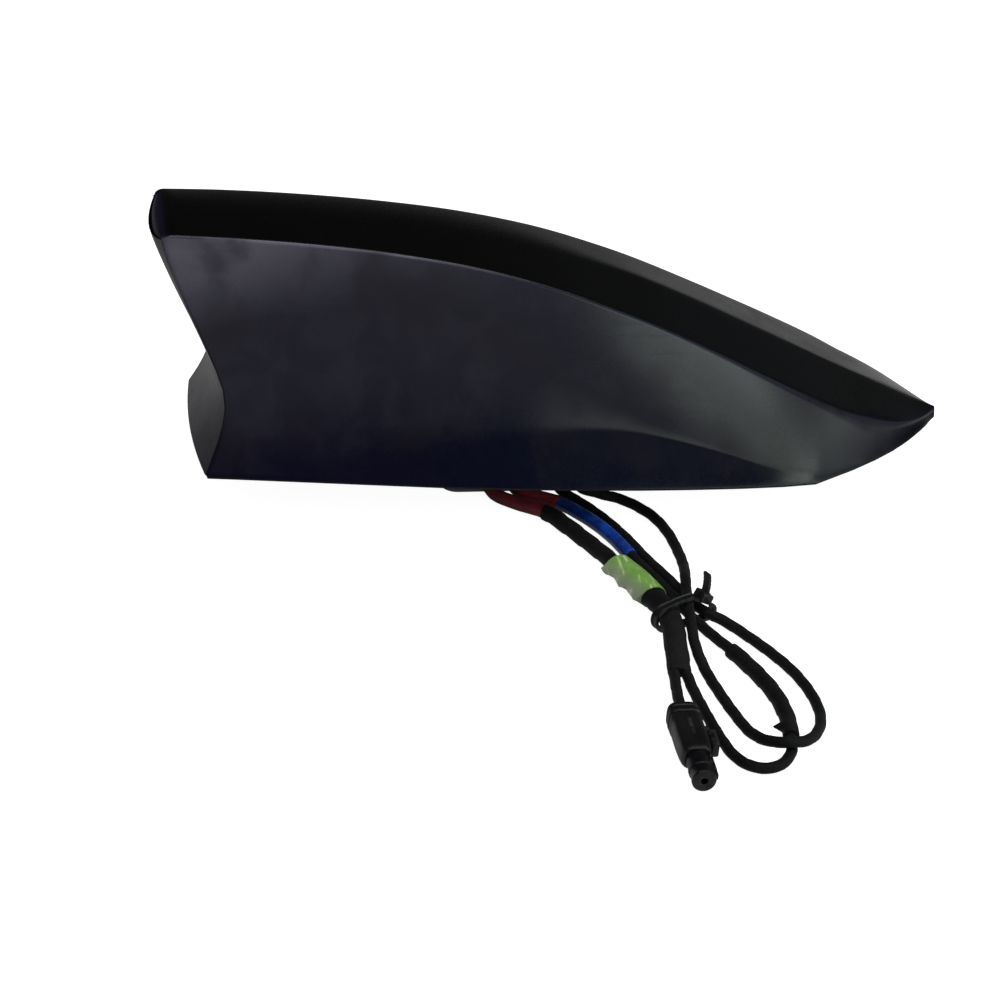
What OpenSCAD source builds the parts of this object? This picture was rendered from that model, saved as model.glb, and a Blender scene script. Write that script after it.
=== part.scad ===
/* [Cover] */
// Length of the cover from nose to tail
fin_length = 205; // [190:1:220]
// Width of the cover at its widest
fin_width = 71; // [66:1:78]
// Height of the ridge above the roof at the tail
fin_height = 63; // [58:1:70]
// Wall of the moulded cover
cover_wall = 2.2; // [1.8:0.1:2.8]
// Radius of the crease between side and deck
crease_radius = 1.2; // [0.6:0.1:2.0]
// Radius of the edge between side and tail face
tail_edge_radius = 1.3; // [0.8:0.1:2.0]
// Radius of the deck's rounded end at the tail
tail_top_radius = 6.5; // [4:0.5:8]

/* [Seal and base plate] */
// Thickness of the rubber seal under the cover
seal_thickness = 1.0; // [0.8:0.1:2.0]
// How far the seal stands back from the cover's edge
seal_setback = 0.8; // [0.5:0.1:1.5]
// Width of the seal's band
seal_band = 10; // [8:0.5:12]
// Thickness of the cast base plate
plate_thickness = 3; // [2.5:0.5:4]
// How far the base plate stands back from the cover's edge
plate_setback = 7.5; // [6.5:0.5:9]
// Thickness of the spring steel in the clips
clip_thickness = 0.6; // [0.4:0.1:0.8]
// Width of each retaining clip
clip_width = 8; // [6:0.5:10]

/* [Fixing spigot] */
// Length of the spigot along the car
spigot_length = 40; // [36:1:46]
// Width of the spigot across the car
spigot_width = 26; // [24:0.5:27]
// Depth of the spigot below the roof plane
spigot_depth = 12; // [11:0.5:13.5]
// Corner radius of the spigot
spigot_corner = 4; // [2:0.5:6]
// Bore radius of the thread for the roof bolt
thread_radius = 2.5; // [2:0.1:3]
// Depth of the threaded hole
thread_depth = 10; // [8:0.5:12]
// Height of the slot that the leads leave by
slot_height = 6; // [5:0.5:7]
// Thickness of the spigot's floor under the slot
slot_floor = 1.2; // [1:0.1:2]
// Thickness of the spigot's wall
spigot_wall = 2; // [1.6:0.1:2.4]

/* [Electronics] */
// Thickness of the circuit boards
board_thickness = 1.6; // [1:0.2:2]
// Height of the stand-offs under the main board
board_standoff = 3; // [2:0.5:4]
// Side of the square satellite patch antennas
patch_side = 25; // [20:1:28]
// Thickness of the patch ceramics
patch_thickness = 4; // [3:0.5:5]
// Height of the shield can
can_height = 5; // [4:0.5:7]
// Thickness of the bent sheet antennas
sheet_thickness = 0.5; // [0.3:0.1:0.8]
// Half width of the sheet cap over the radio antenna
cap_half_width = 9; // [7:0.5:10]
// Depth of the cap's side flanges
cap_flange = 8; // [5:0.5:12]

/* [Leads] */
// Outer diameter of each coaxial lead
lead_diameter = 2.8; // [2.4:0.1:3.2]
// Outer diameter of the coloured sleeves
sleeve_diameter = 3.6; // [3.4:0.1:4.2]
// Outer diameter of the fleece tape on the front lead
tape_diameter = 4.4; // [4:0.1:4.4]
// Width of the cable tie's strap
tie_width = 2.4; // [1.8:0.1:3.5]
// Thickness of the cable tie's strap
tie_thickness = 0.9; // [0.7:0.1:1]

/* [Plug] */
// Length of the plug's housing, without its round nose
plug_length = 19; // [18:1:24]
// Width of the plug's housing
plug_width = 7.6; // [7:0.2:9]
// Height of the plug's housing
plug_height = 7; // [6.4:0.2:8]
// Diameter of the plug's round nose
plug_nose_diameter = 5.8; // [5.2:0.1:6.4]
// Length of the plug's round nose
plug_nose_length = 8.5; // [7:0.5:11]

/* [Hidden] */

// Fit
snug = 0.15;
slide = 0.3;

// The outline below was drawn at this length, width and height.
drawn_size = [205, 71, 63];
grow = [fin_length / drawn_size[0], fin_width / drawn_size[1], fin_height / drawn_size[2]];

// Places are given as the distance behind the nose, then a half width or a height.
nose_x = 110 * grow[0];
shoulder = 38.6;
nose_outline = [[0, 1.2], [1.2, 2.6], [3.6, 6], [7.4, 10.6], [11, 14.5], [16, 19.1], [21, 22.9], [30, 29],
                [38.6, 34]];
skirt_outline = [[38.6, 34], [47, 35], [58, 35.5], [84, 35.5], [104, 34.7], [127, 33.1], [150, 30.4],
                 [170, 28], [184, 26.3], [205, 24]];
low_crease_width = [[0, 1], [1.2, 2.4], [3.6, 5.8], [7.4, 10.4], [11, 14.3], [16, 18.9], [21, 22.7],
                    [26, 25.8], [31, 28.9], [35, 31], [38.6, 32.5], [42, 33.1], [46, 33], [52, 31.8],
                    [58, 30.2], [64, 28.6], [76, 26.3], [88, 24.4], [113, 22.8], [145, 21.9], [170, 20.8],
                    [205, 19.2]];
low_crease_height = [[0, 1.9], [31, 1.9], [35, 2.2], [38.6, 2.8], [42, 3.4], [46, 4.1], [52, 5.1], [58, 6.5],
                     [64, 7.9], [76, 10.7], [88, 13.2], [113, 15.6], [145, 15.2], [170, 14.2], [205, 13]];
deck_width = [[0, 0.8], [6, 8.4], [13, 15.2], [20, 19.2], [28, 21.6], [42, 22], [53, 21.4], [64, 20.6],
              [79, 19.7], [90, 19.1], [105, 17.9], [125, 16.3], [145, 15.2], [165, 14.5], [190, 13.8],
              [205, 13.2]];
deck_height = [[0, 2.8], [6, 4.6], [13, 7.2], [20, 10], [28, 13.4], [42, 20.1], [54, 26], [64, 30.9],
               [80, 38.3], [90, 42.3], [105, 47.7], [125, 53], [145, 56.5], [165, 58.9], [185, 60.5],
               [205, 61.4]];
deck_crown = [[0, 0.8], [13, 2.2], [30, 3.2], [54, 3.4], [80, 3.2], [100, 2.6], [123, 2], [145, 1.7],
              [205, 1.6]];
// The ridge is a fold at the front and a soft rise at the rear.
deck_fold = [[0, 0.3], [14, 0.08], [60, 0.06], [88, 0.08], [105, 0.25], [125, 0.7], [150, 1.3], [205, 1.5]];
// Tail edge, as height, then distance behind the nose
tail_profile = [[0, 191.8], [9, 188.3], [14, 187], [19, 186.7], [25, 188.5], [34, 192.3], [47, 198],
                [56, 201.2], [63, 202.6]];
// How far the middle of the tail stands out behind its edges, by height
tail_bulge = [[0, 1.9], [30, 1.9], [50, 2.8], [63, 3.8]];
// The lower crease is sharp at the front and fades to the rear; the upper one fades towards the nose.
low_crease_blend = [[0, 0.1], [30, 0.5], [80, 1.2], [115, 6], [150, 11], [205, 12]];
crease_blend = [[0, 1.2], [12, 4], [20, 4.5], [28, 2.5], [40, 1.5], [60, 1], [205, 0.9]];

// Smooth curve through a table of [place, value]
function find(t, x, i = 0) = i >= len(t) - 2 || x < t[i + 1][0] ? i : find(t, x, i + 1);
function rise(t, i) = (t[i + 1][1] - t[i][1]) / (t[i + 1][0] - t[i][0]);
function slope(t, i) = i == 0 ? rise(t, 0) : i == len(t) - 1 ? rise(t, i - 1) :
    (rise(t, i - 1) + rise(t, i)) / 2;
function curve(t, x) =
    let (i = find(t, x), h = t[i + 1][0] - t[i][0], s = (x - t[i][0]) / h)
    let (a = slope(t, i) * h, b = slope(t, i + 1) * h, d = t[i + 1][1] - t[i][1])
    t[i][1] + s * (a + s * ((3 * d - 2 * a - b) + s * (a + b - 2 * d)));

// Half widths and heights in millimetres at a drawn distance behind the nose
function edge_width(b) = grow[1] * (b < shoulder ? curve(nose_outline, b) : curve(skirt_outline, b));
function mix(a, b, t) = a + (b - a) * t;
function unit(v) = v / norm(v);
function bezier(a, b, c, t) = mix(mix(a, b, t), mix(b, c, t), t);
function nose_to_x(b) = nose_x - b * grow[0];

lip_height = 0.5;
lip_inset = 0.35;
cover_base = seal_thickness;

// Section from the bottom edge up to the ridge, as [half width, height], set in by the wall w
flank_steps = 3;
low_blend_steps = 4;
side_steps = 5;
crease_steps = 5;
deck_steps = 4;
function fold_drop(t, fold) = (norm([t, fold]) - fold) / (norm([1, fold]) - fold);
function deck_point(edge, crown, fold, y) = [y, edge[1] + crown * (1 - fold_drop(y / edge[0], fold))];
function section(b, w) =
    let (foot = [edge_width(b) - 1.25 * w, cover_base])
    let (lip = foot + [-lip_inset, lip_height])
    let (low = [min(grow[1] * curve(low_crease_width, b) - w, lip[0] - 0.1),
                max(grow[2] * curve(low_crease_height, b), lip[1] + 0.4)])
    let (edge = [max(grow[1] * curve(deck_width, b) - w, 0.5),
                 max(grow[2] * curve(deck_height, b) - 0.9 * w, low[1] + 0.4)])
    let (crown = grow[2] * curve(deck_crown, b), fold = curve(deck_fold, b))
    let (to_foot = unit(lip - low), to_edge = unit(edge - low))
    let (flank = norm(lip - low), side = norm(edge - low), soft = curve(low_crease_blend, b))
    let (low_in = low + to_foot * min(soft, 0.8 * flank), low_out = low + to_edge * min(2 * soft, 0.6 * side))
    let (round = min(crease_radius * curve(crease_blend, b), 0.45 * side, 0.45 * edge[0]))
    let (edge_in = edge - to_edge * round, edge_out = deck_point(edge, crown, fold, edge[0] - round))
    let (middle = (low_out + edge_in) / 2 + [0.012 * side, 0.006 * side])
    concat(
        [foot],
        [for (i = [0:flank_steps - 1]) mix(lip, low_in, i / flank_steps)],
        [for (i = [0:low_blend_steps]) bezier(low_in, low, low_out, i / low_blend_steps)],
        [for (i = [1:side_steps - 1]) bezier(low_out, middle, edge_in, i / side_steps)],
        [for (i = [0:crease_steps]) bezier(edge_in, edge, edge_out, i / crease_steps)],
        [for (i = [1:deck_steps]) deck_point(edge, crown, fold, edge_out[0] * pow(1 - i / deck_steps, 1.5))]
    );
foot_row = 0;
crease_row = flank_steps + low_blend_steps + side_steps + round(crease_steps / 2);
ridge_row = len(section(50, 0)) - 1;

// Stations, as distances behind the nose at the foot of the tail
stations = [0, 0.5, 1.2, 2.4, 4, 6.5, 9.5, 13, 17, 21.5, 26, 30.5, 34.8, 38.6, 43, 48, 53, 58, 63.5, 69.5, 76,
            83, 90, 97, 104, 111, 118, 125, 132, 139, 146, 153, 160, 167, 174, 180, 185, 188.5];
last_station = stations[len(stations) - 1];
tail_steps = 4;

// Radius of the tail's edge: small on the side, growing over the deck
tail_corner = flank_steps + low_blend_steps + side_steps;
function tail_round(s, j) = j <= tail_corner ? tail_edge_radius
    : mix(tail_edge_radius, tail_top_radius, 1 - pow(s[j][0] / s[tail_corner][0], 2));
function inward(s, j) =
    let (a = s[max(j - 1, 0)], b = s[min(j + 1, ridge_row)], t = unit(b - a))
    j == ridge_row ? [0, -1] : j == foot_row ? [-1, 0] : [-t[1], t[0]];
function tail_back(y, z, half) = curve(tail_profile, z / grow[2])
    + curve(tail_bulge, z / grow[2]) * (1 - pow(y / half, 2));

// For each row: where the tail's edge ends, as [half width, height, distance behind the nose, radius]
function tail_rows(w) =
    let (s = section(last_station, w))
    [for (j = [0:ridge_row])
        let (r = max(tail_round(s, j) - w, 0.4), p = s[j] + inward(s, j) * r)
        let (back = tail_back(p[0], p[1], s[min(j, crease_row)][0]) - 1.1 * w / grow[0])
        [max(p[0], 0), p[1], back, r]];
function side_point(i, j, w, rows) =
    let (first = w > 0 ? 9 : 0, b0 = first + stations[i] * (last_station - first) / last_station)
    let (stop = rows[j][2] - rows[j][3] / grow[0], pull = pow(max(b0 - 90, 0) / (last_station - 90), 2))
    let (b = b0 + pull * (stop - last_station), s = section(b, w))
    [nose_to_x(b), s[j][0], s[j][1]];
function edge_point(k, j, w, rows) =
    let (a = 90 * k / tail_steps, r = rows[j][3], stop = rows[j][2] - r / grow[0], s = section(stop, w))
    let (p = s[j] + inward(s, j) * r * (1 - cos(a)))
    [nose_to_x(stop) - r * sin(a), max(p[0], 0), p[1]];

// The skin is a lattice: rings from the nose to the tail's edge, each from the near foot over the ridge
// to the far foot, and then the tail face between the last ring's two sides.
rings = len(stations) + tail_steps;
ring_size = 2 * ridge_row + 1;
tail_columns = 2 * (ridge_row - crease_row);
function ring_row(r) = r <= ridge_row ? r : ring_size - 1 - r;
function near_side(r) = r <= ridge_row ? -1 : 1;
function skin_points(w) =
    let (rows = tail_rows(w))
    let (half = [for (i = [0:rings - 1]) [for (j = [0:ridge_row])
        i < len(stations) ? side_point(i, j, w, rows) : edge_point(i - len(stations) + 1, j, w, rows)]])
    let (last = half[rings - 1], top = [for (c = [0:tail_columns])
        let (j = crease_row + min(c, tail_columns - c))
        [(c * 2 <= tail_columns ? -1 : 1) * last[j][1], last[j][2]]])
    let (s = section(last_station, w))
    concat(
        [for (i = [0:rings - 1]) for (r = [0:ring_size - 1]) let (p = half[i][ring_row(r)])
            [p[0], near_side(r) * p[1], p[2]]],
        [for (j = [0:crease_row - 1]) for (c = [1:tail_columns - 1])
            let (y = top[c][0] / -top[0][0] * last[j][1], lift = top[c][1] - top[0][1])
            let (z = last[j][2] + lift * pow(j / crease_row, 2))
            let (b = tail_back(y, z, s[j][0]) - 1.1 * w / grow[0]) [nose_to_x(b), y, z]]
    );
function tail_index(j, c) = c == 0 ? (rings - 1) * ring_size + j
    : c == tail_columns ? rings * ring_size - 1 - j
    : j == crease_row ? (rings - 1) * ring_size + crease_row + c
    : rings * ring_size + j * (tail_columns - 1) + c - 1;
skin_size = rings * ring_size + crease_row * (tail_columns - 1);
function quad(a, b, c, d) = [[a, c, b], [a, d, c]];
skin_faces = concat(
    [for (i = [0:rings - 2]) for (r = [0:ring_size - 2]) let (a = i * ring_size + r)
        each quad(a, a + 1, a + ring_size + 1, a + ring_size)],
    [for (j = [0:crease_row - 1]) for (c = [0:tail_columns - 1])
        each quad(tail_index(j, c), tail_index(j + 1, c), tail_index(j + 1, c + 1), tail_index(j, c + 1))],
    [for (r = [1:ring_size - 2]) [0, r, r + 1]]
);
foot_loop = concat(
    [for (i = [0:rings - 1]) i * ring_size],
    [for (c = [1:tail_columns - 1]) tail_index(0, c)],
    [for (i = [rings - 1:-1:0]) (i + 1) * ring_size - 1]
);
function flipped(faces) = [for (f = faces) [f[0], f[2], f[1]]];
function shifted(faces, by) = [for (f = faces) [f[0] + by, f[1] + by, f[2] + by]];
rim_faces = [for (n = [0:len(foot_loop) - 1])
    let (a = foot_loop[n], b = foot_loop[(n + 1) % len(foot_loop)])
    each quad(a, b, b + skin_size, a + skin_size)];

module cover_shell() {
    polyhedron(points = concat(skin_points(0), skin_points(cover_wall)),
        faces = concat(skin_faces, flipped(shifted(skin_faces, skin_size)), rim_faces));
}

// Flat outline under the cover, set in by d all round
outline_places = [0, 2, 5, 9, 14, 20, 27, 38.6, 47, 58, 71, 84, 104, 127, 150, 170, 184];
tail_foot = tail_profile[0][1];
tail_points = 6;
function outward(b) = unit([(edge_width(b + 0.1) - edge_width(b)) / 0.1, 1]);
function inset_point(b, d) = [nose_to_x(b), edge_width(b)] - d * outward(b);
function inset_outline(d) =
    let (last = nose_to_x(tail_foot) + d + 1)
    let (side = [for (b = outline_places) let (p = inset_point(b, d)) if (p[1] > 0.5 && p[0] > last) p])
    let (half = edge_width(tail_foot - d) - d, tip = nose_to_x(tail_foot) + d)
    let (tail = [for (i = [0:tail_points]) let (t = 1 - 2 * i / tail_points)
        [tip - tail_bulge[0][1] * (1 - t * t), half * t]])
    concat(side, tail, [for (i = [len(side) - 1:-1:0]) [side[i][0], -side[i][1]]]);

// Inside of the cover: half width of its wall at a height, and height of its roof
function width_at(s, z, i = 1) = i == crease_row || z <= s[i + 1][1]
    ? mix(s[i][0], s[i + 1][0], (z - s[i][1]) / (s[i + 1][1] - s[i][1])) : width_at(s, z, i + 1);
function wall_inside(x, z) = width_at(section((nose_x - x) / grow[0], cover_wall), z);
function roof_inside(x, y) =
    let (b = (nose_x - x) / grow[0], half = grow[1] * curve(deck_width, b) - cover_wall)
    let (drop = fold_drop(y / half, curve(deck_fold, b)))
    grow[2] * (curve(deck_height, b) + curve(deck_crown, b) * (1 - drop)) - 0.9 * cover_wall;

// Levels, upwards
plate_base = seal_thickness;
plate_top = plate_base + plate_thickness;
board_base = plate_top + board_standoff;
board_top = board_base + board_thickness;
spigot_base = -spigot_depth;
slot_base = spigot_base + slot_floor;
slot_top = slot_base + slot_height;
table = spigot_base;

// Places along the car
lead_places = [-9, -3, 8, 14];
lead_front = -spigot_width / 2;
duct_ends = [lead_places[0] - 2, lead_places[3] + 2];
duct_depth = 4.8;
front_antenna_x = 69.5 * grow[0];
rear_antenna_x = -70 * grow[0];
board_half_width = 19.5;
board_clearance = 4;
function board_side(x) = min(board_half_width, wall_inside(x, board_top) - board_clearance);
stand_radius = 3;
stand_places = [for (x = [rear_antenna_x + 14, front_antenna_x - 7.5]) [x, board_side(x) - stand_radius]];
screw_radius = 1.2;
screw_head = [2.2, 1.4];
screw_depth = 4.5;
clip_places = [for (x = [-44, 0, 46]) x * grow[0]];
clip_foot = 6;
clip_lean = 2;
clip_hook = 0.4;
clip_height = 4;
rivet_radius = 1;
rivet_head = [1.8, 0.7];
rivet_depth = 1.8;
piece_gap = 3;
patch_places = [front_antenna_x - piece_gap - patch_side / 2, front_antenna_x - 2 * piece_gap - 1.5 * patch_side];
electrode = [0.3, 2.5];
pin_radius = 0.5;
pin_offset = 2;
can_front = patch_places[1] - patch_side / 2 - 1.5 * piece_gap;
can_rear = can_front - 24;
can_half_width = 14;
can_hole_step = 4;
radio_ends = [rear_antenna_x + 10, can_rear - 5];
frame_overhang = 5;
cap_overhang = 8;
cap_ends = [radio_ends[0] - cap_overhang, radio_ends[1] + cap_overhang];
cap_gap = 4.5;
tray_thickness = 1.5;
post = [4, 2.6];

module rounded_box(size, r) {
    linear_extrude(size[2]) {
        square([size[0] - 2 * r, size[1]], center = true);
        square([size[0], size[1] - 2 * r], center = true);
        for (sx = [-1, 1]) for (sy = [-1, 1])
            translate([sx * (size[0] / 2 - r), sy * (size[1] / 2 - r)]) circle(r, $fn = 32);
    }
}
module block(from, to) { translate(from) cube(to - from); }
module both_sides() {
    children();
    mirror([0, 1, 0]) children();
}
// A profile drawn as [across, up], with its thickness along the car from x
module across_profile(points, x, width) {
    translate([x, 0, 0]) rotate([90, 0, 90]) linear_extrude(width) polygon(points);
}
// A profile drawn as [along, up], with its thickness across the car, centred on y
module along_profile(points, y, width) {
    translate([0, y + width / 2, 0]) rotate([90, 0, 0]) linear_extrude(width) polygon(points);
}

module fin_cover() { color("#1c1d22") cover_shell(); }

module base_seal() {
    color("#151515") linear_extrude(seal_thickness) difference() {
        polygon(inset_outline(seal_setback));
        polygon(inset_outline(seal_setback + seal_band));
    }
}

module base_plate() {
    color("#a9abad") difference() {
        union() {
            translate([0, 0, plate_base]) linear_extrude(plate_thickness) polygon(inset_outline(plate_setback));
            translate([0, 0, spigot_base])
                rounded_box([spigot_length, spigot_width, spigot_depth + plate_base + 1], spigot_corner);
            for (p = stand_places) both_sides()
                translate([p[0], p[1], plate_base + 1])
                    cylinder(board_standoff + plate_thickness - 1, r = stand_radius, $fn = 32);
        }
        // Duct for the leads, from the slot in the near wall up through the plate
        block([duct_ends[0], lead_front + spigot_wall, slot_base],
              [duct_ends[1], lead_front + spigot_wall + duct_depth, plate_top + 1]);
        block([duct_ends[0], lead_front - 1, slot_base], [duct_ends[1], lead_front + spigot_wall + 1, slot_top]);
        translate([0, 0, spigot_base - 1]) cylinder(thread_depth + 1, r = thread_radius, $fn = 48);
        for (p = stand_places) both_sides()
            translate([p[0], p[1], board_base - screw_depth + board_thickness])
                cylinder(screw_depth, r = screw_radius, $fn = 24);
        for (x = clip_places) both_sides()
            translate([x, rivet_across(x), plate_top - rivet_depth])
                cylinder(rivet_depth + 1, r = rivet_radius, $fn = 24);
        // Relief pocket behind the spigot
        translate([0, 0, spigot_base + thread_depth]) relief_pockets();
    }
}
pocket_length = 5;
module relief_pockets() {
    for (side = [-1, 1])
        translate([side * (spigot_length / 2 - spigot_wall) - (side + 1) / 2 * pocket_length, spigot_width / 8, 0])
            cube([pocket_length, spigot_width / 4, spigot_depth + plate_top]);
}

module ground_spring() {
    top = plate_base;
    thickness = 0.5;
    color("#b9bcc0") {
        difference() {
            translate([0, 0, top - thickness])
                rounded_box([spigot_length + 6, spigot_width + 6, thickness], spigot_corner + 3);
            translate([0, 0, top - 2 * thickness])
                rounded_box([spigot_length + 2 * slide, spigot_width + 2 * slide, 3 * thickness],
                            spigot_corner + slide);
        }
        // Teeth that bite into the roof sheet
        for (side = [-1, 1]) for (y = [-8, 0, 8])
            translate([side * (spigot_length / 2 + 1.6), y, 0.05])
                cylinder(top - thickness - 0.05, 0.1, 0.8, $fn = 16);
    }
}

module snap_springs() {
    foot = spigot_length / 2;
    bend_height = -spigot_depth / 3;
    profile = [[foot + 0.02, slot_base], [foot + 0.02 + clip_thickness, slot_base], [foot + 2, bend_height],
               [foot + 1.4, -0.8], [foot + 0.8, -0.8], [foot + 1.4, bend_height]];
    color("#b9bcc0") for (side = [0, 1]) mirror([side, 0, 0]) along_profile(profile, 0, spigot_width / 3);
}

function clip_reach(x) = min([for (side = [-1, 1])
    wall_inside(x + side * clip_width / 2, plate_top + clip_height)]) - slide;
function rivet_across(x) = clip_reach(x) - clip_lean - clip_foot / 2;
module retaining_clips() {
    color("#c3c6ca") for (x = clip_places) both_sides() {
        tip = clip_reach(x);
        heel = tip - clip_lean;
        t = clip_thickness;
        difference() {
            across_profile([[heel - clip_foot, plate_top], [heel, plate_top],
                            [tip - clip_hook, plate_top + clip_height * 0.7], [tip, plate_top + clip_height],
                            [tip - t, plate_top + clip_height], [heel - t, plate_top + t],
                            [heel - clip_foot, plate_top + t]],
                           x - clip_width / 2, clip_width);
            translate([x, rivet_across(x), plate_top - 1]) cylinder(t + 2, r = rivet_radius, $fn = 24);
        }
    }
}
module clip_rivets() {
    color("#8d9094") for (x = clip_places) both_sides() translate([x, rivet_across(x), plate_top]) {
        translate([0, 0, clip_thickness]) cylinder(rivet_head[1], r = rivet_head[0], $fn = 24);
        translate([0, 0, -rivet_depth]) cylinder(rivet_depth + clip_thickness + 0.2, r = rivet_radius, $fn = 24);
    }
}

module cable_grommet() {
    color("#1a1a1a") {
        block([duct_ends[0], lead_front, slot_base],
              [duct_ends[1], lead_front + spigot_wall + duct_depth, slot_top]);
    }
}
inner_lead_y = lead_front + spigot_wall + duct_depth / 2;
module inner_leads() {
    color("#161616") for (x = lead_places)
        translate([x, inner_lead_y, slot_top]) cylinder(board_base - slot_top, d = lead_diameter, $fn = 24);
}

board_ends = [rear_antenna_x - 2, front_antenna_x + 2.5];
board_cuts = [[3, 2.5], [6, 5.5]];
board_points = 6;
board_near = [for (i = [0:board_points])
    let (x = mix(board_ends[0] + board_cuts[0][0], board_ends[1] - board_cuts[1][0], i / board_points))
    [x, -board_side(x)]];
board_half = concat(
    [[board_ends[0], board_near[0][1] + board_cuts[0][1]]],
    board_near,
    [[board_ends[1], board_near[board_points][1] + board_cuts[1][1]]]);
board_outline = concat(board_half, [for (i = [len(board_half) - 1:-1:0]) [board_half[i][0], -board_half[i][1]]]);
module main_board() {
    color("#1d5c35") difference() {
        translate([0, 0, board_base]) linear_extrude(board_thickness) polygon(board_outline);
        for (p = stand_places) both_sides()
            translate([p[0], p[1], board_base - 1]) cylinder(board_thickness + 2, r = screw_radius, $fn = 24);
    }
}
module board_screws() {
    color("#c9cbce") for (p = stand_places) both_sides() translate([p[0], p[1], board_top]) difference() {
        union() {
            cylinder(screw_head[1], r = screw_head[0], $fn = 24);
            translate([0, 0, -screw_depth]) cylinder(screw_depth + 0.2, r = screw_radius, $fn = 24);
        }
        translate([0, 0, screw_head[1] - 0.7]) for (a = [0, 90]) rotate([0, 0, a])
            translate([-1.3, -0.3, 0]) cube([2.6, 0.6, 1]);
    }
}
module shield_can() {
    t = sheet_thickness;
    color("#cfd2d4") difference() {
        block([can_rear, -can_half_width, board_top], [can_front, can_half_width, board_top + can_height]);
        block([can_rear + t, t - can_half_width, board_top - 1],
              [can_front - t, can_half_width - t, board_top + can_height - t]);
        for (x = [can_rear + can_hole_step:can_hole_step:can_front - can_hole_step]) for (y = [-8, 0, 8])
            translate([x, y, board_top + can_height - 1]) cylinder(2, r = 0.7, $fn = 16);
    }
}
// Small chips on the board, as corner, then size
function along_radio(t) = mix(radio_ends[0], radio_ends[1], t);
chips = [[can_rear + 4, -10, 8, 8, 1.4], [can_rear + 16, -8, 5, 6, 1.2], [can_rear + 6, 3, 6, 5, 1.6],
         [can_rear + 17, 4, 4, 3, 1], [along_radio(0.65), -15, 7, 7, 1.4], [along_radio(0.4), 9, 5, 4, 1.2],
         [along_radio(0.65), 9, 6, 4, 1.8]];
module board_chips() {
    color("#26272b") for (c = chips) translate([c[0], c[1], board_top]) cube([c[2], c[3], c[4]]);
}

module patch(n) {
    difference() {
        translate([patch_places[n] - patch_side / 2, -patch_side / 2, board_top])
            cube([patch_side, patch_side, patch_thickness]);
        translate([patch_places[n] + pin_offset, 0, board_top - 1])
            cylinder(patch_thickness + 2, r = pin_radius + 0.1, $fn = 24);
    }
}
module patch_face(n) {
    half = patch_side / 2 - electrode[1];
    cut = 2.5;
    difference() {
        translate([patch_places[n], 0, board_top + patch_thickness]) linear_extrude(electrode[0])
            polygon([[-half + cut, -half], [half, -half], [half, half - cut], [half - cut, half], [-half, half],
                     [-half, -half + cut]]);
        translate([patch_places[n] + pin_offset, 0, board_top])
            cylinder(patch_thickness + 2, r = pin_radius + 0.1, $fn = 24);
    }
}
module navigation_patch() { color("#cbbf9f") patch(0); }
module navigation_electrode() { color("#d9dadb") patch_face(0); }
module radio_patch() { color("#cbbf9f") patch(1); }
module radio_electrode() { color("#d9dadb") patch_face(1); }
module patch_pins() {
    color("#c9b26a") for (x = patch_places) translate([x + pin_offset, 0, board_top]) {
        cylinder(patch_thickness + electrode[0] + 0.5, r = pin_radius, $fn = 24);
        translate([0, 0, patch_thickness + electrode[0]]) cylinder(0.5, 1.3, 0.7, $fn = 24);
    }
}

front_antenna_width = 18;
front_antenna_lip = 4;
module front_antenna() {
    x = front_antenna_x;
    end = x + front_antenna_lip;
    top = roof_inside(end, front_antenna_width / 2) - 1.5;
    t = sheet_thickness;
    color("#c9a45a") along_profile([[x, board_top], [x + t, board_top], [x + t, top - t], [end, top - t],
        [end, top], [x, top]], 0, front_antenna_width);
}
rear_antenna_height = 30;
rear_antenna_width = 16;
rear_antenna_lip = 3;
module rear_antenna() {
    x = rear_antenna_x;
    end = x + rear_antenna_lip;
    top = board_top + rear_antenna_height * grow[2];
    t = sheet_thickness;
    color("#c9a45a") difference() {
        along_profile([[x, board_top], [x + t, board_top], [x + t, top - t], [end, top - t], [end, top], [x, top]],
            0, rear_antenna_width);
        translate([x - 1, -rear_antenna_width / 4, board_top + 8])
            cube([2, rear_antenna_width / 2, rear_antenna_height / 2 - 1]);
    }
}

// The cap follows the cover's roof between its ends.
function cap_z(x) =
    let (low = roof_inside(cap_ends[1], cap_half_width), high = roof_inside(cap_ends[0], cap_half_width))
    mix(high, low, (x - cap_ends[0]) / (cap_ends[1] - cap_ends[0])) - cap_gap;
module radio_board() {
    color("#1d5c35") along_profile([[radio_ends[0], board_top], [radio_ends[1], board_top],
        [radio_ends[1], cap_z(radio_ends[1])], [radio_ends[0], cap_z(radio_ends[0])]], 0, board_thickness);
}
module antenna_cap() {
    t = sheet_thickness;
    color("#b9bcc0") {
        along_profile([[cap_ends[0], cap_z(cap_ends[0])], [cap_ends[1], cap_z(cap_ends[1])],
            [cap_ends[1], cap_z(cap_ends[1]) + t], [cap_ends[0], cap_z(cap_ends[0]) + t]], 0, 2 * cap_half_width);
        both_sides() along_profile([[cap_ends[0], cap_z(cap_ends[0]) - cap_flange],
            [cap_ends[1], cap_z(cap_ends[1]) - cap_flange], [cap_ends[1], cap_z(cap_ends[1]) + t],
            [cap_ends[0], cap_z(cap_ends[0]) + t]], cap_half_width - t / 2, t);
    }
}
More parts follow.
